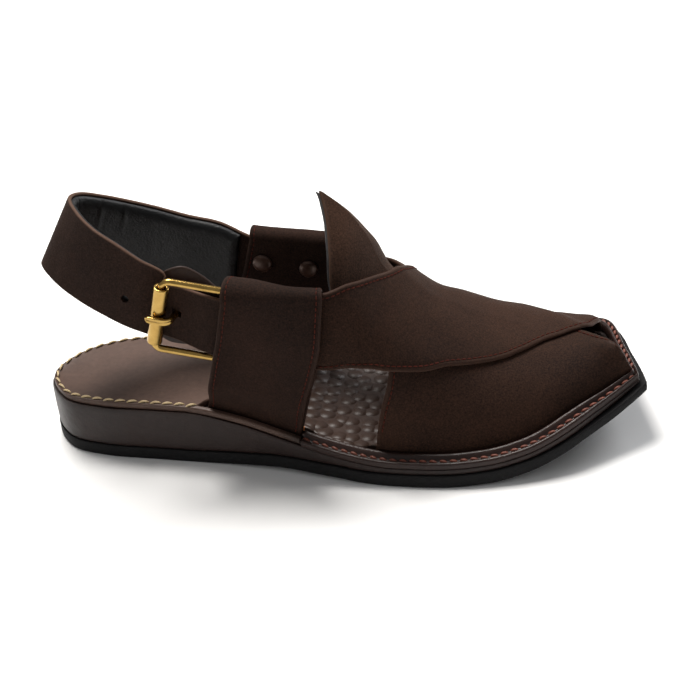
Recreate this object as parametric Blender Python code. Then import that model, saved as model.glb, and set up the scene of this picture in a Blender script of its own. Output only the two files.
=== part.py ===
# Peshawari chappal, right shoe: two wide straps crossed over the forefoot, a pointed tongue,
# folded side loops and a buckled heel strap on a leather-covered wedge sole.
# Metres, +Z up, toe towards +X, buckle side towards -Y, standing on the floor z = 0.
# The origin is the middle of the heel's flat spot.
import bpy
import numpy as np
from mathutils import Vector
from mathutils.geometry import delaunay_2d_cdt

MM = 0.001

# Sole
LENGTH = 290 * MM
BALL_WIDTH = 104 * MM
HEEL_SPOT = 40 * MM
HEEL_TOP = 31.4 * MM
BALL_TOP = 12.7 * MM
TOE_LIFT = 19.3 * MM
TREAD_LIFT = 23.2 * MM
ARCH_LIFT = 2.4 * MM
OUTSOLE_THICK = 6.6 * MM
OUTSOLE_TOE_THINNING = 2.4 * MM
OUTSOLE_FLANGE = 1.2 * MM
OUTSOLE_ROUND = 0.8 * MM
INSOLE_THICK = 3.0 * MM
INSOLE_ROUND = 0.9 * MM
STRIP_INSET = 2.05 * MM
STRIP_MARGIN = 0.25 * MM
STRIP_ROUND = 0.5 * MM
STRIP_ROOM = 1.5 * MM
STRIP_START = 0.246
STRIP_STOP = 0.446
WELT_WIDTH = 8.2 * MM
WELT_THICK = 3.0 * MM
TIP_SOFTNESS = 11 * MM
GAP = 0.3 * MM

# Upper
INSTEP_RISE = 116 * MM
STRAP_LEATHER = 2.0 * MM
CROSSING_STEP = 1.9 * MM
CROSSING_BLEND = 7 * MM
TONGUE_LEATHER = 1.6 * MM
TONGUE_GAP = 2.3 * MM
TONGUE_RISE = 3.1 * MM
TONGUE_CLEAR = 1.5 * MM
TONGUE_BLEND = 10 * MM
LOOP_LEATHER = 1.9 * MM
LOOP_TOP_REAR = 104 * MM
LOOP_TOP_REAR_MEDIAL = 97 * MM
LOOP_TOP_FALL = 5 * MM
LOOP_ROOM_OUT = 4.9 * MM
LOOP_ROOM_IN = 6.2 * MM
LOOP_SLACK = 1.9 * MM
LOOP_FLARE = 3.4 * MM

# Heel strap
STRAP_WIDTH = 40 * MM
STRAP_THICK = 2.0 * MM
STRAP_HEIGHT = 132 * MM
TAIL_WIDTH = 31 * MM
TAIL_FLARE = 2.2 * MM
MEDIAL_END_LEVEL = 91 * MM
LINING_THICK = 3.2 * MM
LINING_INSET = 1.2 * MM

# Buckle and rivets
BUCKLE_WIDTH = 40 * MM
BUCKLE_LENGTH = 36.5 * MM
BUCKLE_CORNER = 4 * MM
WIRE = 3.5 * MM
ROLLER_LENGTH = 32.5 * MM
ROLLER_OUTER = 7.3 * MM
ROLLER_WALL = 1.5 * MM
PRONG_WIDTH = 3.4 * MM
PRONG_THICK = 2.2 * MM
PRONG_THIN = 0.55
FLAP_THICK = 1.6 * MM
FLAP_START = -2 * MM
FLAP_LENGTH = 43 * MM
RIVET_HEAD = 9.5 * MM
RIVET_RISE = 2.0 * MM
# Rivets on the medial loop: name, station, level
RIVETS = [("rivet_rear", 0.383, 79 * MM), ("rivet_front", 0.456, 75 * MM)]
# The hinge bar's middle on the last, and the way from it to the roller
HINGE_STATION = 0.361
HINGE_LEVEL = 77.3 * MM
BUCKLE_WAY = (-0.955, -0.06, 0.27)
# Place of the roller across the shoe that the heel strap's table below is measured from
ROLLER_ACROSS = -0.327

LATERAL, MEDIAL = -1, 1

# Plan of the sole: station along the length, half widths as shares of the ball width
OUTLINE = [
    (0.035, 0.160, 0.212),
    (0.100, 0.235, 0.312),
    (0.200, 0.277, 0.342),
    (0.300, 0.318, 0.325),
    (0.400, 0.375, 0.300),
    (0.500, 0.448, 0.315),
    (0.600, 0.503, 0.390),
    (0.700, 0.520, 0.480),
    (0.800, 0.480, 0.518),
    (0.880, 0.393, 0.512),
    (0.938, 0.262, 0.440),
    (0.975, 0.168, 0.150),
]
HEEL_MIDDLE = 0.03
TIP_MIDDLE = -0.10

# Side view of the sole: station, shares of the heel height, arch lift, toe lift and tread lift
PROFILE = [
    (0.00, 1.00, 0.0, 0.00, 0.00),
    (0.25, 1.00, 0.0, 0.00, 0.00),
    (0.34, 0.80, 0.5, 0.00, 0.00),
    (0.42, 0.48, 1.0, 0.00, 0.00),
    (0.50, 0.20, 0.7, 0.00, 0.00),
    (0.56, 0.05, 0.1, 0.00, 0.00),
    (0.60, 0.00, 0.0, 0.00, 0.00),
    (0.68, 0.00, 0.0, 0.00, 0.00),
    (0.76, 0.00, 0.0, 0.05, 0.05),
    (0.82, 0.00, 0.0, 0.19, 0.18),
    (0.90, 0.00, 0.0, 0.58, 0.52),
    (0.96, 0.00, 0.0, 0.83, 0.78),
    (1.00, 0.00, 0.0, 1.00, 1.00),
]

# Insets from the sole's edge, in shares of the welt's width: station, foot of the upper,
# edge of the insole, flange of the outsole
INSETS = [
    (0.00, 0.92, 0.18, 0.4),
    (0.25, 0.92, 0.18, 0.5),
    (0.285, 0.92, 1.32, 0.6),
    (0.45, 0.92, 1.32, 0.8),
    (0.475, 1.00, 1.07, 0.9),
    (0.545, 1.24, 1.07, 1.0),
    (0.562, 1.28, 1.50, 1.0),
    (0.90, 1.28, 1.55, 1.6),
    (0.95, 1.00, 1.30, 2.4),
    (1.00, 0.76, 1.10, 3.0),
]

# The last: station, ridge height as a share of the instep rise, ridge shift to the medial side
# as a share of the ball width, and how far the section is a toe's and not an instep's
LAST = [
    (0.270, 1.320, 0.00, 0.00),
    (0.360, 1.250, 0.00, 0.00),
    (0.440, 1.140, 0.01, 0.00),
    (0.510, 1.030, 0.02, 0.00),
    (0.540, 0.965, 0.02, 0.05),
    (0.570, 0.840, 0.03, 0.15),
    (0.600, 0.694, 0.04, 0.35),
    (0.625, 0.594, 0.05, 0.55),
    (0.660, 0.497, 0.05, 0.80),
    (0.700, 0.438, 0.06, 1.00),
    (0.740, 0.380, 0.06, 1.00),
    (0.780, 0.328, 0.06, 1.00),
    (0.830, 0.270, 0.05, 1.00),
    (0.870, 0.224, 0.04, 1.00),
    (0.900, 0.191, 0.03, 1.00),
    (0.930, 0.166, 0.02, 1.00),
    (0.960, 0.152, 0.01, 1.00),
    (0.985, 0.144, 0.00, 1.00),
    (1.000, 0.138, 0.00, 1.00),
]

# Over the nose the sections fan out: where this starts, how far behind the tip the ridge
# ends, and the direction from the tip to there
FAN_START = 0.80
FAN_BACK = 8.7 * MM
FAN_WAY = (-0.93, 0.37)
NOSE_START = 0.975
RIDGE_HALF = 0.03

# Rows of inner points of a strap: step along, alternate turns, room to the strap's edge
FILL_STEP = 0.019
FILL_TURNS = [
    (-0.93, -0.80, -0.62, -0.42, -0.24, -0.10, 0.0, 0.10, 0.24, 0.42, 0.62, 0.80, 0.93),
    (-0.87, -0.72, -0.52, -0.33, -0.16, -0.05, 0.05, 0.16, 0.33, 0.52, 0.72, 0.87),
]
FILL_MARGIN = 1.9 * MM

# Half section of the last from the foot line up to the ridge:
# instep width, instep height, toe width, toe height
SECTION = [
    (1.00, 0.00, 1.00, 0.00),
    (1.07, 0.24, 0.95, 0.30),
    (1.08, 0.48, 0.86, 0.55),
    (0.90, 0.70, 0.70, 0.76),
    (0.62, 0.83, 0.50, 0.89),
    (0.31, 0.93, 0.27, 0.97),
    (0.00, 1.00, 0.00, 1.00),
]

# Edges on the last: station, turn (-1 lateral foot line, 0 ridge, 1 medial foot line)
UPPER_STRAP_REAR = [
    (0.425, -0.598), (0.470, -0.556), (0.517, -0.496), (0.546, -0.406), (0.576, -0.250),
    (0.601, -0.036), (0.610, 0.13), (0.613, 0.30), (0.609, 0.50), (0.600, 0.70),
    (0.586, 0.84), (0.568, 1.0),
]
UPPER_STRAP_FRONT = [
    (0.410, -0.80), (0.486, -0.754), (0.536, -0.710), (0.586, -0.639), (0.649, -0.559),
    (0.724, -0.467), (0.780, -0.376), (0.821, -0.269), (0.866, -0.107), (0.896, 0.012),
    (0.916, 0.095), (0.937, 0.165), (0.951, 0.27), (0.956, 0.42), (0.957, 0.58),
    (0.954, 0.79), (0.950, 1.0),
]
LOWER_STRAP_REAR = [
    (0.568, -1.0), (0.580, -0.862), (0.592, -0.756), (0.602, -0.663), (0.608, -0.479),
    (0.613, -0.221), (0.614, -0.02), (0.613, 0.12), (0.606, 0.29), (0.592, 0.43),
    (0.567, 0.54), (0.527, 0.61), (0.475, 0.64), (0.425, 0.65),
]
LOWER_STRAP_FRONT = [
    (0.972, 1.0), (0.978, 0.84), (0.985, 0.60), (0.985, 0.41), (0.979, 0.29),
    (0.968, 0.205), (0.954, 0.17), (0.938, 0.175), (0.915, 0.20), (0.880, 0.27),
    (0.800, 0.42), (0.728, 0.53), (0.653, 0.61), (0.588, 0.68), (0.536, 0.74),
    (0.486, 0.785), (0.410, 0.82),
]
TONGUE_REAR = [
    (0.00, 0.507), (0.06, 0.512), (0.19, 0.519), (0.40, 0.523), (0.62, 0.526),
]
TONGUE_FRONT = 0.665
TONGUE_SPREAD = 0.58
# Rear edges of the straps over the tongue: turn, station
STRAPS_REAR = [
    (-0.60, 0.425), (-0.55, 0.470), (-0.50, 0.517), (-0.406, 0.546), (-0.25, 0.576),
    (-0.036, 0.601), (0.12, 0.610), (0.29, 0.606), (0.43, 0.592), (0.54, 0.567), (0.61, 0.527),
]

# Edges of a side loop: share of its height, rear station, front station
LOOP_EDGES = [
    (0.00, 0.287, 0.442),
    (0.36, 0.313, 0.470),
    (0.56, 0.327, 0.489),
    (0.74, 0.340, 0.503),
    (1.00, 0.356, 0.511),
]
LOOP_SHIFT_MEDIAL = 0.012

# Top edge of the heel strap from the buckle round the heel to the medial side: station, across
# as a share of the ball width, height as a share of the strap's height, lean back, lean out
HEEL_STRAP = [
    (0.265, -0.274, 0.819, 0.27, 0.00),
    (0.227, -0.270, 0.868, 0.285, 0.02),
    (0.188, -0.240, 0.917, 0.32, 0.03),
    (0.153, -0.192, 0.952, 0.37, 0.04),
    (0.122, -0.115, 0.985, 0.48, 0.05),
    (0.102, -0.019, 1.004, 0.57, 0.03),
    (0.107, 0.077, 0.983, 0.50, 0.06),
    (0.137, 0.154, 0.936, 0.38, 0.08),
    (0.207, 0.240, 0.848, 0.30, 0.05),
    (0.262, 0.268, 0.790, 0.27, 0.03),
    (0.314, 0.276, 0.752, 0.25, 0.02),
]


def ease(table, column, at):
    """Monotone cubic through one column of a table: level rows stay exactly level."""
    x = np.array([row[0] for row in table], float)
    y = np.array([row[column] for row in table], float)
    step = np.diff(x)
    slope = np.diff(y) / step
    tangent = np.zeros(len(x))
    tangent[0], tangent[-1] = slope[0], slope[-1]
    before, after = slope[:-1], slope[1:]
    rising = before * after > 0
    weight = (2 * step[1:] + step[:-1], step[1:] + 2 * step[:-1])
    safe_before = np.where(rising, before, 1)
    safe_after = np.where(rising, after, 1)
    mean = (weight[0] + weight[1]) / (weight[0] / safe_before + weight[1] / safe_after)
    tangent[1:-1] = np.where(rising, mean, 0)
    at = np.clip(np.asarray(at, float), x[0], x[-1])
    i = np.clip(np.searchsorted(x, at) - 1, 0, len(x) - 2)
    u = (at - x[i]) / step[i]
    return ((2 * u**3 - 3 * u**2 + 1) * y[i] + (u**3 - 2 * u**2 + u) * step[i] * tangent[i]
            + (3 * u**2 - 2 * u**3) * y[i + 1] + (u**3 - u**2) * step[i] * tangent[i + 1])


def curve(points, count):
    """Centripetal Catmull-Rom curve through points, sampled evenly in its own parameter."""
    p = np.array(points, float)
    p = np.vstack([2 * p[0] - p[1], p, 2 * p[-1] - p[-2]])
    knots = np.r_[0, np.cumsum(np.sqrt(np.linalg.norm(np.diff(p, axis=0), axis=1)))]
    at = np.linspace(knots[1], knots[-2], count)
    i = np.clip(np.searchsorted(knots, at, side="right") - 1, 1, len(knots) - 3)

    def mix(a, b, from_knot, to_knot):
        share = ((at - from_knot) / (to_knot - from_knot))[:, None]
        return a * (1 - share) + b * share

    first = mix(p[i - 1], p[i], knots[i - 1], knots[i])
    second = mix(p[i], p[i + 1], knots[i], knots[i + 1])
    third = mix(p[i + 1], p[i + 2], knots[i + 1], knots[i + 2])
    left = mix(first, second, knots[i - 1], knots[i + 1])
    right = mix(second, third, knots[i], knots[i + 2])
    return mix(left, right, knots[i], knots[i + 1])


def sampled(line, shares):
    """A dense line sampled at shares of its length."""
    run = np.r_[0, np.cumsum(np.linalg.norm(np.diff(line, axis=0), axis=1))]
    return np.stack([np.interp(shares * run[-1], run, line[:, k])
                     for k in range(line.shape[1])], -1)


def line_length(line):
    return np.linalg.norm(np.diff(line, axis=0), axis=1).sum()


def even(points, count):
    """A smooth curve through a few points, sampled at equal lengths."""
    return sampled(curve(points, 40 * len(points)), np.linspace(0, 1, count))


def smooth_step(x):
    x = np.clip(x, 0, 1)
    return x * x * (3 - 2 * x)


def outline_side(side):
    """One side of the sole's edge in plan, from the back of the heel to the tip."""
    own, other = (1, 2) if side == LATERAL else (2, 1)
    first = OUTLINE[0]
    points = [(first[0] * LENGTH, -side * first[other] * BALL_WIDTH)]
    points += [(0, HEEL_MIDDLE * BALL_WIDTH)]
    points += [(row[0] * LENGTH, side * row[own] * BALL_WIDTH) for row in OUTLINE]
    points += [(LENGTH, TIP_MIDDLE * BALL_WIDTH)]
    line = curve(points, 1200)
    return line[np.argmin(line[:, 0]):]


LATERAL_EDGE = outline_side(LATERAL)
MEDIAL_EDGE = outline_side(MEDIAL)
EDGE_LOOP = np.vstack([LATERAL_EDGE, MEDIAL_EDGE[::-1]])
EDGE_RUN = np.r_[0, np.cumsum(np.linalg.norm(np.diff(EDGE_LOOP, axis=0), axis=1))]


def on_edge(run):
    run = np.mod(run, EDGE_RUN[-1])
    return np.stack([np.interp(run, EDGE_RUN, EDGE_LOOP[:, k]) for k in (0, 1)], -1)


def edge(side, station, inset):
    """Plan point of the sole's edge at a station, moved inwards; the direction turns
    gradually over the tip, so inner lines never cross there."""
    x = np.asarray(station, float) * LENGTH
    count = len(LATERAL_EDGE)
    if side == LATERAL:
        run = np.interp(x, LATERAL_EDGE[:, 0], EDGE_RUN[:count])
    else:
        run = np.interp(x, MEDIAL_EDGE[:, 0], EDGE_RUN[count:][::-1])
    along = on_edge(run + TIP_SOFTNESS) - on_edge(run - TIP_SOFTNESS)
    along /= np.linalg.norm(along, axis=-1, keepdims=True)
    inward = np.stack([-along[..., 1], along[..., 0]], -1)
    return on_edge(run) + inward * np.asarray(inset)[..., None]


def top_height(station):
    """Height of the sole's upper edge."""
    heel = (HEEL_TOP - BALL_TOP) * ease(PROFILE, 1, station)
    return BALL_TOP + heel + TOE_LIFT * ease(PROFILE, 3, station)


def floor_height(station):
    """Height of the tread: level under the heel and under the ball."""
    return ARCH_LIFT * ease(PROFILE, 2, station) + TREAD_LIFT * ease(PROFILE, 4, station)


def outsole_top(station):
    thinning = OUTSOLE_TOE_THINNING * ease(PROFILE, 4, station)
    return floor_height(station) + OUTSOLE_THICK - thinning


def foot_inset(station):
    return WELT_WIDTH * ease(INSETS, 1, station)


SECTION_CURVE = curve(SECTION, 400)
SECTION_WAY = np.linspace(0, 1, 400)


def feet(station):
    """Plan of the lateral and medial foot lines of the upper."""
    inset = foot_inset(station)
    return edge(LATERAL, station, inset), edge(MEDIAL, station, inset)


def ridge_plan(station):
    """Plan of the ridge: midway between the feet, then straight to its end over the nose."""
    station = np.asarray(station, float)
    lateral, medial = feet(station)
    start = sum(feet(np.array(FAN_START))) / 2
    end = feet(np.array(1.0))[0] + FAN_BACK * np.array(FAN_WAY)
    share = ((station - FAN_START) / (1 - FAN_START))[..., None]
    return np.where(share > 0, start + (end - start) * share, (lateral + medial) / 2)


def last(station, turn):
    """Inner face of the upper: half sections raised from the two foot lines to the ridge."""
    station, turn = np.broadcast_arrays(np.asarray(station, float), np.asarray(turn, float))
    way = 1 - np.abs(turn)
    toe = ease(LAST, 3, station)
    parts = [np.interp(way, SECTION_WAY, SECTION_CURVE[:, k]) for k in range(4)]
    width = parts[0] * (1 - toe) + parts[2] * toe
    height = parts[1] * (1 - toe) + parts[3] * toe
    lateral, medial = feet(station)
    foot = np.where(turn[..., None] < 0, lateral, medial)
    ridge = ridge_plan(station)
    plan = ridge + (foot - ridge) * width[..., None]
    across = plan[..., 1] + BALL_WIDTH * ease(LAST, 2, station) * height**2
    base = top_height(station) - INSOLE_THICK
    up = base + INSTEP_RISE * ease(LAST, 1, station) * height
    return np.stack([plan[..., 0] - HEEL_SPOT, across, up], -1)


def last_normal(station, turn):
    """Outward direction of one half of the last."""
    step = 0.002
    low, high = np.clip(station - step, 0, 1), np.clip(station + step, 0, 1)
    left, right = np.clip(turn - step, -1, 1), np.clip(turn + step, -1, 1)
    along = last(high, turn) - last(low, turn)
    across = last(station, right) - last(station, left)
    normal = np.cross(along, across)
    return normal / np.linalg.norm(normal, axis=-1, keepdims=True)


def off_last(station, turn, offset):
    """A point of the last moved outwards. Over the ridge and round the nose the two halves
    share one direction."""
    station, turn = np.broadcast_arrays(np.asarray(station, float), np.asarray(turn, float))
    own = np.where(turn < 0, -1, 1) * np.maximum(np.abs(turn), RIDGE_HALF)
    ridge = 1 - np.abs(turn) / RIDGE_HALF
    nose = smooth_step((station - NOSE_START) / (1 - NOSE_START))
    share = np.clip(np.maximum(ridge, nose), 0, 1)[..., None] / 2
    normal = (1 - share) * last_normal(station, own) + share * last_normal(station, -own)
    normal /= np.linalg.norm(normal, axis=-1, keepdims=True)
    return last(station, turn) + normal * np.asarray(offset)[..., None]


def turn_at(side, station, height):
    """Turn of the instep's section at a height above the floor."""
    base = top_height(station) - INSOLE_THICK
    share = (height - base) / (INSTEP_RISE * ease(LAST, 1, station))
    return side * (1 - np.interp(share, SECTION_CURVE[:, 1], SECTION_WAY))


def material(name, colour, roughness, metallic=0.0):
    made = bpy.data.materials.new(name)
    made.use_nodes = True
    shader = made.node_tree.nodes["Principled BSDF"]
    shader.inputs["Base Color"].default_value = (*colour, 1)
    shader.inputs["Roughness"].default_value = roughness
    shader.inputs["Metallic"].default_value = metallic
    return made


def solid(name, points, faces, finish):
    """An object from points and faces, with its faces turned outwards."""
    mesh = bpy.data.meshes.new(name)
    mesh.from_pydata([tuple(p) for p in np.asarray(points).reshape(-1, 3)], [], faces)
    volume = 0.0
    corners = np.asarray(points).reshape(-1, 3)
    for face in faces:
        for k in range(1, len(face) - 1):
            a, b, c = corners[face[0]], corners[face[k]], corners[face[k + 1]]
            volume += np.dot(a, np.cross(b, c))
    if volume < 0:
        mesh.flip_normals()
    mesh.materials.append(finish)
    mesh.shade_smooth()
    mesh.set_sharp_from_angle(angle=np.radians(35))
    placed = bpy.data.objects.new(name, mesh)
    bpy.context.collection.objects.link(placed)
    return placed


def stack(name, levels, stations, finish):
    """A slab of the sole: the edge loop at each level, lowest first, closed across."""
    count = len(stations)
    rings = []
    for inset, height in levels:
        for side, order in ((LATERAL, 1), (MEDIAL, -1)):
            plan = edge(side, stations, inset(stations))
            ring = np.c_[plan[:, 0] - HEEL_SPOT, plan[:, 1], height(stations)]
            rings.append(ring[::order])
    points = np.vstack(rings)
    ring_size = 2 * count
    faces = []
    for level in range(len(levels) - 1):
        for k in range(ring_size):
            a = level * ring_size + k
            b = level * ring_size + (k + 1) % ring_size
            faces.append((a, b, b + ring_size, a + ring_size))
    top = (len(levels) - 1) * ring_size
    for k in range(count - 1):
        mate = ring_size - 1 - k
        faces.append((k, mate, mate - 1, k + 1))
        faces.append((top + k, top + k + 1, top + mate - 1, top + mate))
    return solid(name, points, faces, finish)


def sheet(name, outer, inner, finish):
    """A closed wall between two grids of points of the same shape."""
    rows, columns = outer.shape[:2]
    points = np.vstack([outer.reshape(-1, 3), inner.reshape(-1, 3)])
    under = rows * columns
    index = np.arange(under).reshape(rows, columns)
    a, b = index[:-1, :-1].ravel(), index[1:, :-1].ravel()
    c, d = index[1:, 1:].ravel(), index[:-1, 1:].ravel()
    faces = [tuple(f) for f in np.stack([a, b, c, d], -1).tolist()]
    faces += [tuple(f) for f in (np.stack([a, d, c, b], -1) + under).tolist()]
    rim = np.r_[index[0, :-1], index[:-1, -1], index[-1, :0:-1], index[:0:-1, 0]]
    after = np.roll(rim, -1)
    faces += [tuple(f) for f in np.stack([rim, after, after + under, rim + under], -1).tolist()]
    return solid(name, points, faces, finish)


def tube(name, path, radius, sides, finish, closed):
    """A round wire along a path; closed ends are capped."""
    path = np.asarray(path, float)
    if closed:
        along = np.roll(path, -1, 0) - np.roll(path, 1, 0)
    else:
        along = np.gradient(path, axis=0)
    along /= np.linalg.norm(along, axis=1, keepdims=True)
    flat = np.cross(path[1] - path[0], path[len(path) // 2] - path[0])
    flat /= np.linalg.norm(flat)
    beside = np.cross(along, flat)
    turn = np.linspace(0, 2 * np.pi, sides, endpoint=False)
    ring = (beside[:, None] * np.cos(turn)[None, :, None]
            + flat[None, None] * np.sin(turn)[None, :, None])
    points = path[:, None] + radius * ring
    count = len(path)
    faces = []
    for k in range(count if closed else count - 1):
        for j in range(sides):
            a, b = k * sides + j, k * sides + (j + 1) % sides
            c, d = ((k + 1) % count) * sides + (j + 1) % sides, ((k + 1) % count) * sides + j
            faces.append((a, b, c, d))
    if not closed:
        faces.append(tuple(range(sides))[::-1])
        faces.append(tuple(range((count - 1) * sides, count * sides)))
    return solid(name, points, faces, finish)


def sole_stations(count):
    """Stations gathered towards the heel and the tip, where the edge curves in."""
    turn = np.linspace(0.035, np.pi - 0.07, count)
    return 0.5 - 0.5 * np.cos(turn)


def make_outsole(finish):
    def grow(share):
        return lambda s: -OUTSOLE_FLANGE * ease(INSETS, 3, s) + share * OUTSOLE_ROUND
    levels = [
        (grow(1), floor_height),
        (grow(0), lambda s: floor_height(s) + OUTSOLE_ROUND),
        (grow(0), lambda s: outsole_top(s) - OUTSOLE_ROUND / 2),
        (grow(0.5), outsole_top),
    ]
    return stack("outsole", levels, sole_stations(56), finish)


def make_midsole(finish):
    def bottom(s):
        return outsole_top(s) + GAP

    def top(s):
        return top_height(s) - INSOLE_THICK - GAP
    levels = [
        (lambda s: 0 * s + 0.2 * MM, bottom),
        (lambda s: 0 * s, lambda s: bottom(s) * 0.5 + top(s) * 0.5),
        (lambda s: 0 * s + 0.3 * MM, top),
    ]
    return stack("midsole", levels, sole_stations(56), finish)


def insole_strip(side, finish):
    """The rim of the insole outside a side loop, which comes up through a slit behind it."""
    stations = np.linspace(STRIP_START, STRIP_STOP, 15)
    low, high = STRIP_MARGIN, INSOLE_THICK - STRIP_MARGIN
    rows = []
    for station in stations:
        inner = foot_inset(station) - LOOP_LEATHER - STRIP_ROOM
        base = top_height(station) - INSOLE_THICK
        for inset, height in ((STRIP_INSET, low), (STRIP_INSET, high - STRIP_ROUND),
                              (STRIP_INSET + STRIP_ROUND, high), (inner, high), (inner, low)):
            plan = edge(side, station, inset)
            rows.append((plan[0] - HEEL_SPOT, plan[1], base + height))
    size, count = 5, len(stations)
    faces = []
    for k in range(count - 1):
        for j in range(size):
            a, b = k * size + j, k * size + (j + 1) % size
            faces.append((a, b, b + size, a + size))
    faces.append(tuple(range(size))[::-1])
    faces.append(tuple(range((count - 1) * size, count * size)))
    name = "insole_strip_lateral" if side == LATERAL else "insole_strip_medial"
    strip = solid(name, rows, faces, finish)
    strip.hide_render = True
    strip.display_type = "WIRE"
    return strip


def make_insole(finish):
    """The insole narrows between the side loops; outside them it goes on as two strips."""
    def inset(share):
        return lambda s: WELT_WIDTH * ease(INSETS, 2, s) + share * INSOLE_ROUND

    def base(s):
        return top_height(s) - INSOLE_THICK
    levels = [
        (inset(0.3), base),
        (inset(0), lambda s: base(s) + INSOLE_THICK - INSOLE_ROUND),
        (inset(1), lambda s: base(s) + INSOLE_THICK),
    ]
    slab = stack("insole", levels, sole_stations(48), finish)
    for side in (LATERAL, MEDIAL):
        joined = slab.modifiers.new("join", "BOOLEAN")
        joined.operation = "UNION"
        joined.solver = "EXACT"
        joined.object = insole_strip(side, finish)
    return slab


# Section of the welt: share of its width from the sole's edge, height above its base
# in shares of its thickness
WELT_SECTION = [
    (0.05, 0.0), (0.05, 0.80), (0.11, 1.0), (0.26, 1.0), (0.38, 0.60), (0.54, 0.75),
    (0.66, 1.32), (0.80, 1.50), (0.93, 1.30), (1.0, 0.95), (1.0, 0.0),
]
WELT_START = 0.452


def make_welt(finish):
    """The stitched rim round the forefoot: outer lip, stitch groove and bead."""
    half = WELT_START + (0.9985 - WELT_START) * np.sin(np.linspace(0, np.pi / 2, 30))
    rows = []
    for side, stations in ((LATERAL, half), (MEDIAL, half[::-1])):
        room = foot_inset(stations) - STRAP_LEATHER - 3 * GAP
        narrow = np.where(stations > 0.9, room / WELT_WIDTH, 1)
        for station, share in zip(stations, narrow):
            ring = []
            for inset, height in WELT_SECTION:
                plan = edge(side, station, inset * WELT_WIDTH * share)
                base = top_height(station) - INSOLE_THICK
                ring.append((plan[0] - HEEL_SPOT, plan[1], base + height * WELT_THICK))
            rows.append(ring)
    points = np.array(rows)
    count, size = points.shape[:2]
    faces = []
    for k in range(count - 1):
        for j in range(size):
            a, b = k * size + j, k * size + (j + 1) % size
            faces.append((a, b, b + size, a + size))
    faces.append(tuple(range(size))[::-1])
    faces.append(tuple(range((count - 1) * size, count * size)))
    return solid("welt", points, faces, finish)


def flat(station, turn):
    """The last laid out flat: plan of the ridge and of the foot lines, evenly between."""
    lateral, medial = feet(station)
    ridge = ridge_plan(station)
    foot = np.where(turn[..., None] < 0, lateral, medial)
    return ridge + (foot - ridge) * np.abs(turn)[..., None]


def unflat(points):
    """Station and turn of flat points: the section through each is found by halving."""
    stations = np.linspace(0, 1, 400)
    middle = np.vstack([flat(stations, 0 * stations), flat(np.ones(1), np.ones(1))])
    side = np.where(points[..., 1] < np.interp(points[..., 0], middle[:, 0], middle[:, 1]),
                    -1.0, 1.0)
    low, high = np.zeros(points.shape[:-1]), np.ones(points.shape[:-1])
    for _ in range(40):
        station = (low + high) / 2
        ridge = flat(station, 0 * station)
        way = flat(station, side) - ridge
        from_ridge = points - ridge
        ahead = (from_ridge[..., 0] * way[..., 1] - from_ridge[..., 1] * way[..., 0]) * side > 0
        low = np.where(ahead, station, low)
        high = np.where(ahead, high, station)
    share = (from_ridge * way).sum(-1) / (way**2).sum(-1)
    return station, side * np.clip(share, 0, 1)


def flat_edge(table):
    """Dense flat line through a table of stations and turns."""
    points = np.array(table, float)
    return curve(flat(points[:, 0], points[:, 1]), 600)


def signed_distance(points, outline):
    """Distance of flat points from a closed outline, negative inside it."""
    way = np.roll(outline, -1, 0) - outline
    from_start = points[..., None, :] - outline
    share = np.clip((from_start * way).sum(-1) / (way**2).sum(-1), 0, 1)
    nearest = np.linalg.norm(from_start - share[..., None] * way, axis=-1).min(-1)
    above = outline[:, 1] > points[..., None, 1]
    level = np.where(np.abs(way[:, 1]) < 1e-12, 1e-12, way[:, 1])
    meets = outline[:, 0] + (points[..., None, 1] - outline[:, 1]) * way[:, 0] / level
    crossed = (above != np.roll(above, -1, -1)) & (points[..., None, 0] < meets)
    return np.where(crossed.sum(-1) % 2 == 1, -nearest, nearest)


def closed_outline(pieces):
    """A closed flat outline from dense pieces, each sampled at about its own spacing."""
    points = []
    for line, spacing in pieces:
        count = max(int(round(line_length(line) / spacing)), 1)
        points.append(sampled(line, np.linspace(0, 1, count + 1))[:-1])
    return np.vstack(points)


def filled(outline, crease):
    """Triangles filling a flat outline, over its points, rows of points of the last and
    the points of a crease."""
    rows = []
    for k, station in enumerate(np.arange(0.415, 0.995, FILL_STEP)):
        turns = FILL_TURNS[k % 2]
        rows.append(flat(np.full(len(turns), station), np.array(turns)))
    inner = np.vstack(rows)
    room = signed_distance(inner, outline)
    if len(crease):
        to_crease = np.linalg.norm(inner[:, None] - crease[None], axis=-1).min(-1)
        room = np.maximum(room, -to_crease)
    inner = inner[room < -FILL_MARGIN]
    points = np.vstack([outline, inner, crease]) / MM
    count = len(outline)
    edges = [(k, (k + 1) % count) for k in range(count)]
    edges += [(k, k + 1) for k in range(count + len(inner), len(points) - 1)]
    made = delaunay_2d_cdt([Vector(p) for p in points], edges, [list(range(count))], 1, 1e-5)
    return np.array([tuple(v) for v in made[0]]) * MM, np.array(made[2])


def strap_wall(name, flat_points, triangles, outer, inner, finish):
    """A closed wall over triangles of the flat last, between two offsets from the last."""
    station, turn = unflat(flat_points)
    points = np.vstack([off_last(station, turn, outer), off_last(station, turn, inner)])
    under = len(flat_points)
    faces = [tuple(f) for f in triangles.tolist()]
    faces += [tuple(f) for f in (triangles[:, ::-1] + under).tolist()]
    sides = np.vstack([triangles[:, [0, 1]], triangles[:, [1, 2]], triangles[:, [2, 0]]])
    known = {tuple(side) for side in sides.tolist()}
    faces += [(b, a, a + under, b + under) for a, b in known if (b, a) not in known]
    return solid(name, points, faces, finish)


def foot_line(side, start, stop):
    station = np.linspace(start, stop, 400)
    return flat(station, side + 0 * station)


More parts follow.
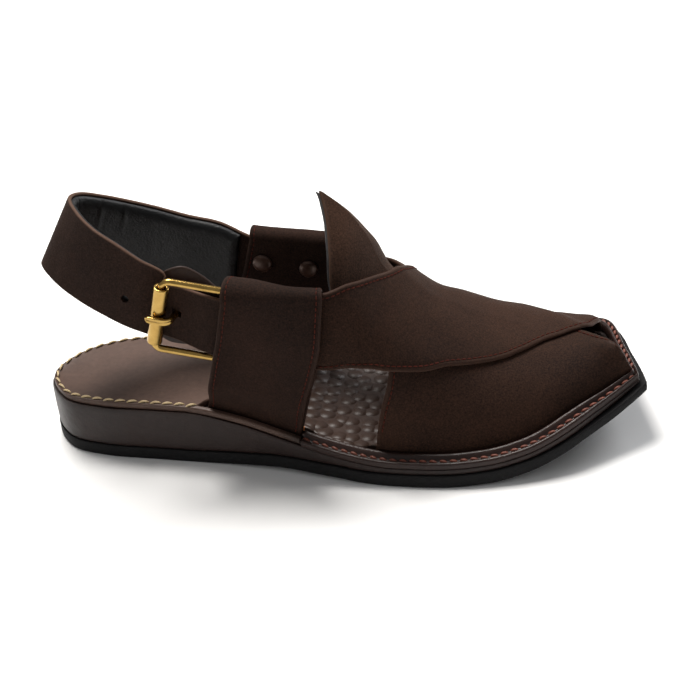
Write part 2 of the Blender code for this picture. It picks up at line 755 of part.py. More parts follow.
def make_upper(finish):
    """Both crossed straps, joined where they cross: the upper one lies over the lower.
    The lower one runs round the nose to the medial side, like a toe cap."""
    rear, front = flat_edge(LOWER_STRAP_REAR), flat_edge(LOWER_STRAP_FRONT)
    start, stop = LOWER_STRAP_REAR[0][0], LOWER_STRAP_FRONT[0][0]
    lower_outline = closed_outline([
        (foot_line(LATERAL, start, 0.93), 7 * MM), (foot_line(LATERAL, 0.93, 1), 2.6 * MM),
        (foot_line(MEDIAL, 1, stop), 2.6 * MM), (front[:220], 3.5 * MM),
        (front[219:], 6 * MM), (np.linspace(front[-1], rear[-1], 9), 5 * MM),
        (rear[::-1], 5 * MM)])
    seam = flat(np.ones(3), np.array([1.0, 0.60, 0.22]))
    points, triangles = filled(lower_outline, seam)
    flush = np.zeros(len(points))
    lower_wall = strap_wall("lower_strap", points, triangles, flush + STRAP_LEATHER, flush,
                            finish)

    rear, front = flat_edge(UPPER_STRAP_REAR), flat_edge(UPPER_STRAP_FRONT)
    start, stop = UPPER_STRAP_REAR[-1][0], UPPER_STRAP_FRONT[-1][0]
    upper_outline = closed_outline([
        (front, 4.5 * MM), (foot_line(MEDIAL, stop, start), 6 * MM), (rear[::-1], 5 * MM),
        (np.linspace(rear[0], front[0], 9), 5 * MM)])
    points, triangles = filled(upper_outline, np.zeros((0, 2)))
    outside = np.maximum(signed_distance(points, lower_outline), 0)
    lift = smooth_step(1 - outside / CROSSING_BLEND)
    upper_wall = strap_wall("upper", points, triangles, STRAP_LEATHER + CROSSING_STEP * lift,
                            CROSSING_STEP / 5 * lift, finish)

    joined = upper_wall.modifiers.new("join", "BOOLEAN")
    joined.operation = "UNION"
    joined.solver = "EXACT"
    joined.object = lower_wall
    lower_wall.hide_render = True
    lower_wall.display_type = "WIRE"
    return upper_wall


def make_tongue(finish):
    """The pointed tongue under the straps. Behind them it stands a little higher."""
    shares = np.linspace(-1, 1, 23)
    turns = TONGUE_SPREAD * np.sign(shares) * np.abs(shares)**1.35
    rear = ease(TONGUE_REAR, 1, np.abs(turns))
    share = np.linspace(0, 1, 11)[:, None]
    station = rear[None] * (1 - share) + TONGUE_FRONT * share
    turn = np.broadcast_to(turns, station.shape)
    behind = (ease(STRAPS_REAR, 1, turn) - station) * LENGTH
    rise = TONGUE_RISE * smooth_step((behind - TONGUE_CLEAR) / TONGUE_BLEND)
    outer = off_last(station, turn, rise - TONGUE_GAP)
    inner = off_last(station, turn, rise - TONGUE_GAP - TONGUE_LEATHER)
    return sheet("tongue", outer, inner, finish)


def loop_room(side, column, height):
    """Offsets from the last of a side loop's two inner faces: closed at the foot, close
    round the strap's end in front and widest at the rear, where the heel strap goes in."""
    open_up = smooth_step((height - 0.04) / 0.30)
    rear = 1 - smooth_step((column - 0.25) / 0.45)
    flare = LOOP_FLARE * (1 - np.clip(column / 0.3, 0, 1))**2
    outer_rear = LOOP_ROOM_OUT + flare if side == LATERAL else STRAP_LEATHER + LOOP_SLACK
    inner_rear = LOOP_ROOM_IN if side == LATERAL else LOOP_SLACK
    outer_front = STRAP_LEATHER + LOOP_SLACK
    outer = GAP / 2 + open_up * (outer_front - GAP / 2 + rear * (outer_rear - outer_front))
    inner = -GAP / 2 - open_up * (LOOP_SLACK - GAP / 2 + rear * (inner_rear - LOOP_SLACK))
    return outer, inner


def make_side_loop(name, side, finish):
    """A leather band folded over at the top; both panels stand on the midsole."""
    columns = np.linspace(0, 1, 8)
    heights = np.linspace(0, 1, 11)
    fold = np.linspace(0, np.pi, 7)[1:-1]
    up_step = 0.5 * MM
    rows = []
    for column in columns:
        rear, front = ease(LOOP_EDGES, 1, heights), ease(LOOP_EDGES, 2, heights)
        if side == MEDIAL:
            rear = rear + LOOP_SHIFT_MEDIAL * heights
        station = rear * (1 - column) + front * column
        foot = top_height(station) - INSOLE_THICK
        outer, inner = loop_room(side, column, heights)
        fold_rise = (outer[-1] - inner[-1]) / 2 + LOOP_LEATHER
        top = (LOOP_TOP_REAR if side == LATERAL else LOOP_TOP_REAR_MEDIAL) - fold_rise
        top = top - LOOP_TOP_FALL * column
        level = foot + (top - foot) * heights
        turn = turn_at(side, station, level)
        crown = off_last(station[-1], turn[-1], 0.0)
        higher = off_last(station[-1], turn_at(side, station[-1], level[-1] + up_step), 0.0)
        up = (higher - crown) / np.linalg.norm(higher - crown)
        out = off_last(station[-1], turn[-1], 1.0) - crown
        middle, radius = (outer[-1] + inner[-1]) / 2, (outer[-1] - inner[-1]) / 2
        skins = []
        for wall in (LOOP_LEATHER, 0.0):
            outside = off_last(station, turn, outer + wall)
            inside = off_last(station, turn, inner - wall)
            bend = crown + out * (middle + (radius + wall) * np.cos(fold))[:, None]
            bend = bend + up * ((radius + wall) * np.sin(fold))[:, None]
            skins.append(np.vstack([outside, bend, inside[::-1]]))
        rows.append(skins)
    grid = np.array(rows)
    return sheet(name, grid[:, 0], grid[:, 1], finish)


def heel_strap_line(count):
    """Top and bottom edges of the heel strap from its tail in the lateral loop, behind the
    roller and round the heel to its end in the medial loop, as equal runs."""
    top, bottom = [], []
    out_of_tail = BUCKLE["tail"]
    for start, end in out_of_tail:
        top.append(start)
        bottom.append(end)
    roller_moved = buckle_point(BUCKLE_LENGTH, 0, 0)[1] - ROLLER_ACROSS * BALL_WIDTH
    for station, across, height, lean_back, lean_out in HEEL_STRAP:
        follows = smooth_step((station - 0.18) / 0.05) if across < 0 else 0.0
        start = np.array([station * LENGTH - HEEL_SPOT,
                          across * BALL_WIDTH + follows * roller_moved, height * STRAP_HEIGHT])
        way = np.array([-lean_back, np.sign(across) * lean_out, -1.0])
        narrow = smooth_step((station - 0.20) / 0.07) if across < 0 else 0.0
        width = STRAP_WIDTH - 0.55 * (STRAP_WIDTH - TAIL_WIDTH) * narrow
        start = start + way / np.linalg.norm(way) * (STRAP_WIDTH - width) / 2
        top.append(start)
        bottom.append(start + way / np.linalg.norm(way) * width)
    for station in (0.36, 0.405):
        edge_top, edge_bottom = MEDIAL_END_LEVEL, MEDIAL_END_LEVEL - STRAP_WIDTH
        drop = (station - 0.36) * LENGTH * 0.25
        for line, level, shift in ((top, edge_top, 0.010), (bottom, edge_bottom, -0.022)):
            s = station + shift
            line.append(off_last(s, turn_at(MEDIAL, s, level - drop), STRAP_THICK / 2))
    return even(np.hstack([top, bottom]), count)


def strap_sheet(name, line, outer, inner, trim, lanes, finish):
    """A band along a pair of edges, between two depths, trimmed at its edges."""
    top, bottom = line[:, :3], line[:, 3:]
    down = bottom - top
    down /= np.linalg.norm(down, axis=1, keepdims=True)
    along = np.gradient((top + bottom) / 2, axis=0)
    out = np.cross(along, down)
    out /= np.linalg.norm(out, axis=1, keepdims=True)
    top, bottom = top + down * trim, bottom - down * trim
    share = np.linspace(0, 1, lanes)[None, :, None]
    middle = top[:, None] * (1 - share) + bottom[:, None] * share
    return sheet(name, middle + out[:, None] * outer, middle + out[:, None] * inner, finish)


def buckle_place():
    """Where the buckle sits: the hinge bar in the lateral loop, the roller towards the heel."""
    turn = turn_at(LATERAL, HINGE_STATION, HINGE_LEVEL)
    hinge = off_last(HINGE_STATION, turn, GAP)
    out = off_last(HINGE_STATION, turn, 1.0) - off_last(HINGE_STATION, turn, 0.0)
    back = np.array(BUCKLE_WAY) / np.linalg.norm(BUCKLE_WAY)
    up = np.cross(back, out)
    up /= np.linalg.norm(up)
    if up[2] < 0:
        up = -up
    out = np.cross(up, back)
    if out[1] > 0:
        out = -out
    return hinge, back, up, out


def buckle_point(along, up, out):
    """Point of the buckle: metres towards the roller, up the bar and outwards."""
    hinge, back_way, up_way, out_way = BUCKLE["place"]
    return hinge + back_way * along + up_way * up + out_way * out


def tail_rows():
    """The strap's tail: over the hinge bar, down through the frame, behind the roller."""
    over = WIRE / 2 + GAP + STRAP_THICK / 2
    behind = -(ROLLER_OUTER / 2 + GAP + STRAP_THICK / 2 + 0.2 * MM)
    rows = []
    for along, depth in ((-10 * MM, over - 0.8 * MM), (0, over + 0.05 * MM),
                         (0.33 * BUCKLE_LENGTH, over - 1.8 * MM),
                         (0.75 * BUCKLE_LENGTH, behind + 1.4 * MM), (BUCKLE_LENGTH, behind)):
        half = TAIL_WIDTH / 2 + TAIL_FLARE * (1 - smooth_step(along / (0.6 * BUCKLE_LENGTH)))
        rows.append((buckle_point(along, half, depth), buckle_point(along, -half, depth)))
    return rows


def make_buckle_frame(finish):
    """Brass wire bent to a rectangle: roller bar, two sides and hinge bar."""
    half, corner = BUCKLE_WIDTH / 2, BUCKLE_CORNER
    bend = np.linspace(0, np.pi / 2, 5)
    path = []
    for along, up, start in ((BUCKLE_LENGTH, half, 0), (0, half, 1), (0, -half, 2),
                             (BUCKLE_LENGTH, -half, 3)):
        sign_along = 1 if along > 0 else -1
        sign_up = np.sign(up)
        centre = (along - sign_along * corner, up - sign_up * corner)
        for angle in bend + start * np.pi / 2:
            path.append(buckle_point(centre[0] + corner * np.cos(angle),
                                     centre[1] + corner * np.sin(angle), 0))
    return tube("buckle_frame", path, WIRE / 2, 8, finish, True)


def make_roller(finish):
    """A brass sleeve that turns freely on the frame's end bar."""
    sides = 16
    turn = np.linspace(0, 2 * np.pi, sides, endpoint=False)
    rings = []
    for radius, level in ((ROLLER_OUTER / 2, 1), (ROLLER_OUTER / 2, -1),
                          (ROLLER_OUTER / 2 - ROLLER_WALL, -1),
                          (ROLLER_OUTER / 2 - ROLLER_WALL, 1)):
        rings.append([buckle_point(BUCKLE_LENGTH + radius * np.cos(a), level * ROLLER_LENGTH / 2,
                                   radius * np.sin(a)) for a in turn])
    points = np.array(rings)
    faces = []
    for k in range(4):
        for j in range(sides):
            a, b = k * sides + j, k * sides + (j + 1) % sides
            c, d = ((k + 1) % 4) * sides + (j + 1) % sides, ((k + 1) % 4) * sides + j
            faces.append((a, b, c, d))
    return solid("buckle_roller", points, faces, finish)


def prong_hole():
    """Cutter for the hole in the strap where the prong comes up through it."""
    corners = [buckle_point(along, up, out)
               for along in (0.58 * BUCKLE_LENGTH, 0.81 * BUCKLE_LENGTH)
               for up in (-PRONG_WIDTH / 2 - GAP, PRONG_WIDTH / 2 + GAP)
               for out in (-2 * ROLLER_OUTER, ROLLER_OUTER / 2)]
    faces = [(0, 1, 3, 2), (4, 6, 7, 5), (0, 4, 5, 1), (2, 3, 7, 6), (0, 2, 6, 4), (1, 5, 7, 3)]
    cutter = solid("prong_hole", corners, faces, strap_leather)
    cutter.hide_render = True
    cutter.display_type = "WIRE"
    return cutter


def make_prong(finish):
    """The flat prong: from the hinge bar under the strap, up through it and over the roller."""
    thin = PRONG_THIN * PRONG_THICK
    under = -(WIRE / 2 + GAP + thin / 2)
    over = ROLLER_OUTER / 2 + GAP + PRONG_THICK / 2
    rise = ROLLER_OUTER / 2 + PRONG_THICK
    route = [(-1 * MM, under), (4 * MM, under), (0.40 * BUCKLE_LENGTH, under - 1.0 * MM),
             (0.58 * BUCKLE_LENGTH, under - 2.2 * MM), (0.74 * BUCKLE_LENGTH, -2.6 * MM),
             (BUCKLE_LENGTH - rise - 1 * MM, 0.6 * MM), (BUCKLE_LENGTH - 2.5 * MM, over),
             (BUCKLE_LENGTH + 1.5 * MM, over + 0.1 * MM), (BUCKLE_LENGTH + 5.5 * MM, over - 0.6 * MM)]
    line = even(route, 22)
    along = np.gradient(line, axis=0)
    along /= np.linalg.norm(along, axis=1, keepdims=True)
    normal = np.stack([-along[:, 1], along[:, 0]], -1)
    corners = ((-0.5, -0.35), (-0.35, -0.5), (0.35, -0.5), (0.5, -0.35),
               (0.5, 0.35), (0.35, 0.5), (-0.35, 0.5), (-0.5, 0.35))
    rows = []
    for k, (along_at, out_at) in enumerate(line):
        taper = 0.8 if k == len(line) - 1 else 1.0
        full = PRONG_THIN + (1 - PRONG_THIN) * smooth_step((along_at - 4 * MM) / (9 * MM))
        thick = PRONG_THICK * full * taper
        rows.append([buckle_point(along_at + normal[k, 0] * b * thick,
                                  a * PRONG_WIDTH * taper, out_at + normal[k, 1] * b * thick)
                     for a, b in corners])
    points = np.array(rows)
    count, size = points.shape[:2]
    faces = []
    for k in range(count - 1):
        for j in range(size):
            a, b = k * size + j, k * size + (j + 1) % size
            faces.append((a, b, b + size, a + size))
    faces.append(tuple(range(size))[::-1])
    faces.append(tuple(range((count - 1) * size, count * size)))
    return solid("buckle_prong", points, faces, finish)


# Outline of the leather flap behind the buckle: share from the loop to its tip, half width
# as a share of the tail's width
FLAP = [(0.0, 0.42), (0.25, 0.52), (0.50, 0.68), (0.70, 0.74), (0.88, 0.62), (1.0, 0.36)]


def make_flap(finish):
    """The leather flap between buckle and foot, held by the loop."""
    share = np.linspace(0, 1, 13)
    lanes = np.linspace(-1, 1, 7)
    hinge_depth = -(WIRE / 2 + PRONG_THIN * PRONG_THICK + 3 * GAP)
    roller_depth = -(ROLLER_OUTER / 2 + 2 * STRAP_THICK + 4 * GAP)
    outer, inner = [], []
    for part in share:
        along = FLAP_START + FLAP_LENGTH * part
        fall = smooth_step((along - 0.1 * BUCKLE_LENGTH) / (0.7 * BUCKLE_LENGTH))
        depth = hinge_depth * (1 - fall) + roller_depth * fall
        half = ease(FLAP, 1, part) * TAIL_WIDTH
        outer.append([buckle_point(along, lane * half, depth) for lane in lanes])
        inner.append([buckle_point(along, lane * half, depth - FLAP_THICK) for lane in lanes])
    return sheet("buckle_flap", np.array(outer), np.array(inner), finish)


def make_rivet(name, station, level, finish):
    """A low domed rivet head on the inner face of the medial loop."""
    turn = turn_at(MEDIAL, station, level)
    column = (station - 0.35) / 0.155
    inner = loop_room(MEDIAL, column, 0.7)[1] - LOOP_LEATHER - 1.5 * GAP
    centre = off_last(station, turn, inner)
    out = off_last(station, turn, 1.0) - off_last(station, turn, 0.0)
    beside = np.cross(out, (0, 0, 1))
    beside /= np.linalg.norm(beside)
    over = np.cross(beside, out)
    sides = 14
    rings = [(0.5, 0.0), (0.5, 0.35), (0.42, 0.75), (0.25, 0.96)]
    points = [centre]
    for radius, rise in rings:
        for a in np.linspace(0, 2 * np.pi, sides, endpoint=False):
            flat = beside * np.cos(a) + over * np.sin(a)
            points.append(centre + flat * radius * RIVET_HEAD - out * rise * RIVET_RISE)
    points.append(centre - out * RIVET_RISE)
    faces = []
    for j in range(sides):
        nxt = (j + 1) % sides
        faces.append((0, 1 + j, 1 + nxt))
        for k in range(len(rings) - 1):
            a, b = 1 + k * sides + j, 1 + k * sides + nxt
            faces.append((a, a + sides, b + sides, b))
        top = 1 + (len(rings) - 1) * sides
        faces.append((top + j, len(points) - 1, top + nxt))
    return solid(name, np.array(points), faces, finish)


for old in list(bpy.data.objects):
    bpy.data.objects.remove(old)

nubuck = material("dark_brown_nubuck", (0.045, 0.026, 0.019), 0.85)
nubuck_tongue = material("tongue_nubuck", (0.045, 0.026, 0.019), 0.85)
loop_leather = material("loop_nubuck", (0.042, 0.025, 0.019), 0.82)
strap_leather = material("strap_leather", (0.040, 0.024, 0.018), 0.75)
padded_black = material("black_padded_leather", (0.012, 0.012, 0.013), 0.5)
smooth_brown = material("smooth_brown_leather", (0.060, 0.038, 0.033), 0.5)
wedge_brown = material("wedge_leather", (0.060, 0.036, 0.032), 0.45)
welt_brown = material("welt_leather", (0.062, 0.038, 0.034), 0.45)
black_rubber = material("black_rubber", (0.010, 0.010, 0.011), 0.6)
flap_leather = material("flap_leather", (0.050, 0.032, 0.028), 0.6)
brass = material("polished_brass", (0.80, 0.60, 0.28), 0.2, 1.0)
rivet_brown = material("painted_rivet", (0.060, 0.034, 0.024), 0.35, 0.3)

BUCKLE = {"place": buckle_place()}
BUCKLE["tail"] = tail_rows()

make_outsole(black_rubber)
make_midsole(wedge_brown)
make_insole(smooth_brown)
make_welt(welt_brown)
make_upper(nubuck)
make_tongue(nubuck_tongue)
make_side_loop("side_loop_lateral", LATERAL, loop_leather)
make_side_loop("side_loop_medial", MEDIAL, loop_leather)
strap_line = heel_strap_line(46)
heel_strap = strap_sheet("heel_strap", strap_line, STRAP_THICK / 2, -STRAP_THICK / 2, 0, 5,
                         strap_leather)
punched = heel_strap.modifiers.new("punched", "BOOLEAN")
punched.operation = "DIFFERENCE"
punched.solver = "EXACT"
punched.object = prong_hole()
strap_sheet("heel_strap_lining", strap_line[13:-6], -STRAP_THICK / 2 - GAP,
            -STRAP_THICK / 2 - GAP - LINING_THICK, LINING_INSET, 5, padded_black)
make_buckle_frame(brass)
make_roller(brass)
make_prong(brass)
make_flap(flap_leather)
for rivet, station, level in RIVETS:
    make_rivet(rivet, station, level, rivet_brown)
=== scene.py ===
import bpy
import numpy as np
from mathutils import Matrix, Vector
from mathutils.geometry import delaunay_2d_cdt


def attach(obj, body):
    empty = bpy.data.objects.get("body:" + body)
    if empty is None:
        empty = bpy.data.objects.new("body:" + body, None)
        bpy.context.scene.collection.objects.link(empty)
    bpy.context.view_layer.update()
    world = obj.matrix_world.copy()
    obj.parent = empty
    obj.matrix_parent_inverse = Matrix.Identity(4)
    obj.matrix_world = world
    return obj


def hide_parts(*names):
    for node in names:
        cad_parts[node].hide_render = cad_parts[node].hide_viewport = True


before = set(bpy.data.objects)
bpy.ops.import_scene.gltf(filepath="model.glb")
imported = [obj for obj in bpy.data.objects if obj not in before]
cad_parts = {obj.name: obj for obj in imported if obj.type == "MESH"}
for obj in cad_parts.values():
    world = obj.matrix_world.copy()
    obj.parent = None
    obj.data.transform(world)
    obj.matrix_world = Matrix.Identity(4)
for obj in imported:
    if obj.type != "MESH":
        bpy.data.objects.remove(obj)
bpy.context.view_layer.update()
MM = 0.001

# The stage: a pale floor, soft light from above and behind on the left, and a camera that
# looks down on the outer side of the shoe, rolled a little.
CAMERA_AZIMUTH, CAMERA_ELEVATION, CAMERA_ROLL = np.radians((12.56, 32.98, -8.26))
CAMERA_DISTANCE = 1.124
CAMERA_TARGET = np.array((0.105, 0.0, 0.040))
FRAME_PIXELS = 700
SHIFT_PIXELS = (13.6, 4.2)
FLOOR_HALF = 6.0
# Area lights: name, place, size, watts, colour
LIGHTS = [
    ("key", (-0.20, 0.50, 1.50), 0.8, 39.0, (1.0, 0.97, 0.93)),
    ("fill", (-0.55, -1.20, 0.80), 1.2, 0.6, (1.0, 1.0, 1.0)),
    ("rim", (0.9, 0.8, 0.8), 0.7, 8.0, (0.97, 0.98, 1.0)),
]

floor_mesh = bpy.data.meshes.new("floor")
floor_corners = [(-FLOOR_HALF, -FLOOR_HALF, 0), (FLOOR_HALF, -FLOOR_HALF, 0),
                 (FLOOR_HALF, FLOOR_HALF, 0), (-FLOOR_HALF, FLOOR_HALF, 0)]
floor_mesh.from_pydata(floor_corners, [], [(0, 1, 2, 3)])
floor = bpy.data.objects.new("floor", floor_mesh)
bpy.context.scene.collection.objects.link(floor)
floor_paint = bpy.data.materials.new("pale_floor")
floor_paint.use_nodes = True
floor_shader = floor_paint.node_tree.nodes["Principled BSDF"]
floor_shader.inputs["Base Color"].default_value = (0.88, 0.88, 0.88, 1)
floor_shader.inputs["Roughness"].default_value = 0.9
floor_shader.inputs["Specular IOR Level"].default_value = 0.1
floor_mesh.materials.append(floor_paint)

for light_name, spot, size, watts, tint in LIGHTS:
    lamp = bpy.data.lights.new(light_name, "AREA")
    lamp.shape = "DISK"
    lamp.size = size
    lamp.energy = watts
    lamp.color = tint
    lamp_object = bpy.data.objects.new(light_name, lamp)
    bpy.context.scene.collection.objects.link(lamp_object)
    aim = Vector(CAMERA_TARGET) - Vector(spot)
    lamp_object.matrix_world = (Matrix.Translation(spot)
                                @ aim.to_track_quat("-Z", "Y").to_matrix().to_4x4())

world = bpy.data.worlds.new("studio")
bpy.context.scene.world = world
world.use_nodes = True
world.node_tree.nodes["Background"].inputs["Color"].default_value = (1, 1, 1, 1)
world.node_tree.nodes["Background"].inputs["Strength"].default_value = 0.29
bpy.context.scene.view_settings.view_transform = "Standard"

camera_data = bpy.data.cameras.new("camera")
camera_data.lens = 120
camera_data.sensor_width = 36
camera_data.shift_x = SHIFT_PIXELS[0] / FRAME_PIXELS
camera_data.shift_y = SHIFT_PIXELS[1] / FRAME_PIXELS
camera_data.clip_end = 20
camera = bpy.data.objects.new("camera", camera_data)
bpy.context.scene.collection.objects.link(camera)
back = np.array((np.sin(CAMERA_AZIMUTH) * np.cos(CAMERA_ELEVATION),
                 -np.cos(CAMERA_AZIMUTH) * np.cos(CAMERA_ELEVATION), np.sin(CAMERA_ELEVATION)))
level = np.array((np.cos(CAMERA_AZIMUTH), np.sin(CAMERA_AZIMUTH), 0))
above = np.cross(back, level)
right = level * np.cos(CAMERA_ROLL) + above * np.sin(CAMERA_ROLL)
up = above * np.cos(CAMERA_ROLL) - level * np.sin(CAMERA_ROLL)
camera_axes = np.stack([right, up, back], -1)
camera.matrix_world = (Matrix.Translation(CAMERA_TARGET + back * CAMERA_DISTANCE)
                       @ Matrix(camera_axes.tolist()).to_4x4())
bpy.context.scene.camera = camera


# The outsole: black rubber, cut a little wider than the wedge and lightly rounded, flat under
# heel and ball, bent up towards the pointed toe.
LENGTH = 290 * MM
BALL_WIDTH = 104 * MM
HEEL_SPOT = 40 * MM
HEEL_TOP = 31.4 * MM
BALL_TOP = 12.7 * MM
TOE_LIFT = 19.3 * MM
TREAD_LIFT = 23.2 * MM
ARCH_LIFT = 2.4 * MM
OUTSOLE_THICK = 6.6 * MM
OUTSOLE_TOE_THINNING = 2.4 * MM
OUTSOLE_FLANGE = 1.2 * MM
OUTSOLE_ROUND = 0.9 * MM
WELT_WIDTH = 8.2 * MM
TIP_SOFTNESS = 11 * MM
EDGE_POINTS = 1200
HEEL_ANGLE, TIP_ANGLE = 0.035, 0.07
LATERAL, MEDIAL = -1, 1
# Plan of the sole: station, lateral and medial half widths as shares of the ball width
OUTLINE = [
    (0.035, 0.160, 0.212), (0.100, 0.235, 0.312), (0.200, 0.277, 0.342), (0.300, 0.318, 0.325),
    (0.400, 0.375, 0.300), (0.500, 0.448, 0.315), (0.600, 0.503, 0.390), (0.700, 0.520, 0.480),
    (0.800, 0.480, 0.518), (0.880, 0.393, 0.512), (0.938, 0.262, 0.440), (0.975, 0.168, 0.150),
]
HEEL_MIDDLE, TIP_MIDDLE = 0.03, -0.10
# Side view: station, shares of the heel height, arch lift, toe lift and tread lift
PROFILE = [
    (0.00, 1.00, 0.0, 0.00, 0.00), (0.25, 1.00, 0.0, 0.00, 0.00), (0.34, 0.80, 0.5, 0.00, 0.00),
    (0.42, 0.48, 1.0, 0.00, 0.00), (0.50, 0.20, 0.7, 0.00, 0.00), (0.56, 0.05, 0.1, 0.00, 0.00),
    (0.60, 0.00, 0.0, 0.00, 0.00), (0.68, 0.00, 0.0, 0.00, 0.00), (0.76, 0.00, 0.0, 0.05, 0.05),
    (0.82, 0.00, 0.0, 0.19, 0.18), (0.90, 0.00, 0.0, 0.58, 0.52), (0.96, 0.00, 0.0, 0.83, 0.78),
    (1.00, 0.00, 0.0, 1.00, 1.00),
]
# Insets from the sole's edge in shares of the welt's width: station, foot of the upper,
# insole edge, outsole flange
INSETS = [
    (0.00, 0.92, 0.18, 0.4), (0.266, 0.92, 0.18, 0.5), (0.288, 0.92, 1.32, 0.6),
    (0.45, 0.92, 1.32, 0.8), (0.475, 1.00, 1.07, 0.9), (0.545, 1.24, 1.07, 1.0),
    (0.562, 1.28, 1.50, 1.0), (0.90, 1.28, 1.55, 1.6), (0.95, 1.00, 1.30, 2.4),
    (1.00, 0.76, 1.10, 3.0),
]


def ease(table, column, at):
    """Monotone cubic through one column of a table: slopes are the weighted harmonic means of
    the neighbouring slopes, and zero where those change sign, so level rows stay level."""
    x = np.array([row[0] for row in table], float)
    y = np.array([row[column] for row in table], float)
    step = np.diff(x)
    slope = np.diff(y) / step
    tangent = np.zeros(len(x))
    tangent[0], tangent[-1] = slope[0], slope[-1]
    before, after = slope[:-1], slope[1:]
    rising = before * after > 0
    weight = (2 * step[1:] + step[:-1], step[1:] + 2 * step[:-1])
    mean = ((weight[0] + weight[1])
            / (weight[0] / np.where(rising, before, 1) + weight[1] / np.where(rising, after, 1)))
    tangent[1:-1] = np.where(rising, mean, 0)
    at = np.clip(np.asarray(at, float), x[0], x[-1])
    i = np.clip(np.searchsorted(x, at) - 1, 0, len(x) - 2)
    u = (at - x[i]) / step[i]
    return ((2 * u**3 - 3 * u**2 + 1) * y[i] + (u**3 - 2 * u**2 + u) * step[i] * tangent[i]
            + (3 * u**2 - 2 * u**3) * y[i + 1] + (u**3 - u**2) * step[i] * tangent[i + 1])


def curve(points, count):
    """Centripetal Catmull-Rom curve: each span mixes its four points three times over, with
    knots spaced by the square roots of the chords."""
    p = np.array(points, float)
    p = np.vstack([2 * p[0] - p[1], p, 2 * p[-1] - p[-2]])
    knots = np.r_[0, np.cumsum(np.sqrt(np.linalg.norm(np.diff(p, axis=0), axis=1)))]
    at = np.linspace(knots[1], knots[-2], count)
    i = np.clip(np.searchsorted(knots, at, side="right") - 1, 1, len(knots) - 3)

    def mix(a, b, from_knot, to_knot):
        share = ((at - from_knot) / (to_knot - from_knot))[:, None]
        return a * (1 - share) + b * share

    first = mix(p[i - 1], p[i], knots[i - 1], knots[i])
    second = mix(p[i], p[i + 1], knots[i], knots[i + 1])
    third = mix(p[i + 1], p[i + 2], knots[i + 1], knots[i + 2])
    early = mix(first, second, knots[i - 1], knots[i + 1])
    late = mix(second, third, knots[i], knots[i + 2])
    return mix(early, late, knots[i], knots[i + 1])


def outline_side(side):
    """One side of the sole's edge in plan: the curve through the back of the heel, the half
    widths of the table and the tip."""
    own, other = (1, 2) if side == LATERAL else (2, 1)
    first = OUTLINE[0]
    points = [(first[0] * LENGTH, -side * first[other] * BALL_WIDTH)]
    points += [(0, HEEL_MIDDLE * BALL_WIDTH)]
    points += [(row[0] * LENGTH, side * row[own] * BALL_WIDTH) for row in OUTLINE]
    points += [(LENGTH, TIP_MIDDLE * BALL_WIDTH)]
    line = curve(points, EDGE_POINTS)
    return line[np.argmin(line[:, 0]):]


LATERAL_EDGE = outline_side(LATERAL)
MEDIAL_EDGE = outline_side(MEDIAL)
EDGE_LOOP = np.vstack([LATERAL_EDGE, MEDIAL_EDGE[::-1]])
EDGE_RUN = np.r_[0, np.cumsum(np.linalg.norm(np.diff(EDGE_LOOP, axis=0), axis=1))]


def on_edge(run):
    """Plan point at a run along the whole edge loop, which closes on itself."""
    run = np.mod(run, EDGE_RUN[-1])
    return np.stack([np.interp(run, EDGE_RUN, EDGE_LOOP[:, k]) for k in (0, 1)], -1)


def edge(side, station, inset):
    """Plan point of the sole's edge at a station, moved inwards along the normal of a long
    chord, so that inner lines don't cross at the tip."""
    x = np.asarray(station, float) * LENGTH
    count = len(LATERAL_EDGE)
    if side == LATERAL:
        run = np.interp(x, LATERAL_EDGE[:, 0], EDGE_RUN[:count])
    else:
        run = np.interp(x, MEDIAL_EDGE[:, 0], EDGE_RUN[count:][::-1])
    along = on_edge(run + TIP_SOFTNESS) - on_edge(run - TIP_SOFTNESS)
    along /= np.linalg.norm(along, axis=-1, keepdims=True)
    inward = np.stack([-along[..., 1], along[..., 0]], -1)
    return on_edge(run) + inward * np.asarray(inset)[..., None]


def top_height(station):
    """Height of the sole's upper edge: ball height, plus heel and toe lifts."""
    heel = (HEEL_TOP - BALL_TOP) * ease(PROFILE, 1, station)
    return BALL_TOP + heel + TOE_LIFT * ease(PROFILE, 3, station)


def floor_height(station):
    """Height of the tread: arch lift and toe spring, zero under heel and ball."""
    return ARCH_LIFT * ease(PROFILE, 2, station) + TREAD_LIFT * ease(PROFILE, 4, station)


def outsole_top(station):
    """Height of the outsole's upper face: tread plus thickness, thinner at the toe."""
    thinning = OUTSOLE_TOE_THINNING * ease(PROFILE, 4, station)
    return floor_height(station) + OUTSOLE_THICK - thinning


def smooth_step(x):
    """3x^2 - 2x^3 between 0 and 1."""
    x = np.clip(x, 0, 1)
    return x * x * (3 - 2 * x)


def piece(name, points, faces, finish, sharp=40, **attributes):
    """An object at the origin from points and faces, smooth but for sharp angles."""
    mesh = bpy.data.meshes.new(name)
    points = np.asarray(points, float).reshape(-1, 3)
    mesh.from_pydata(points.tolist(), [], faces)
    for key, values in attributes.items():
        layer = mesh.attributes.new(key, "FLOAT", "POINT")
        layer.data.foreach_set("value", np.asarray(values, np.float32).ravel())
    mesh.materials.append(finish.material)
    mesh.shade_smooth()
    mesh.set_sharp_from_angle(angle=np.radians(sharp))
    mesh.validate()
    placed = bpy.data.objects.new(name, mesh)
    bpy.context.scene.collection.objects.link(placed)
    if enclosed(points, mesh) < 0:
        mesh.flip_normals()
    return placed


def enclosed(points, mesh):
    """Volume inside a mesh: a sixth of the sum of the triangles' triple products."""
    mesh.calc_loop_triangles()
    corners = np.empty(3 * len(mesh.loop_triangles), np.int64)
    mesh.loop_triangles.foreach_get("vertices", corners)
    a, b, c = (points[corners[k::3]] for k in range(3))
    return (a * np.cross(b, c)).sum() / 6


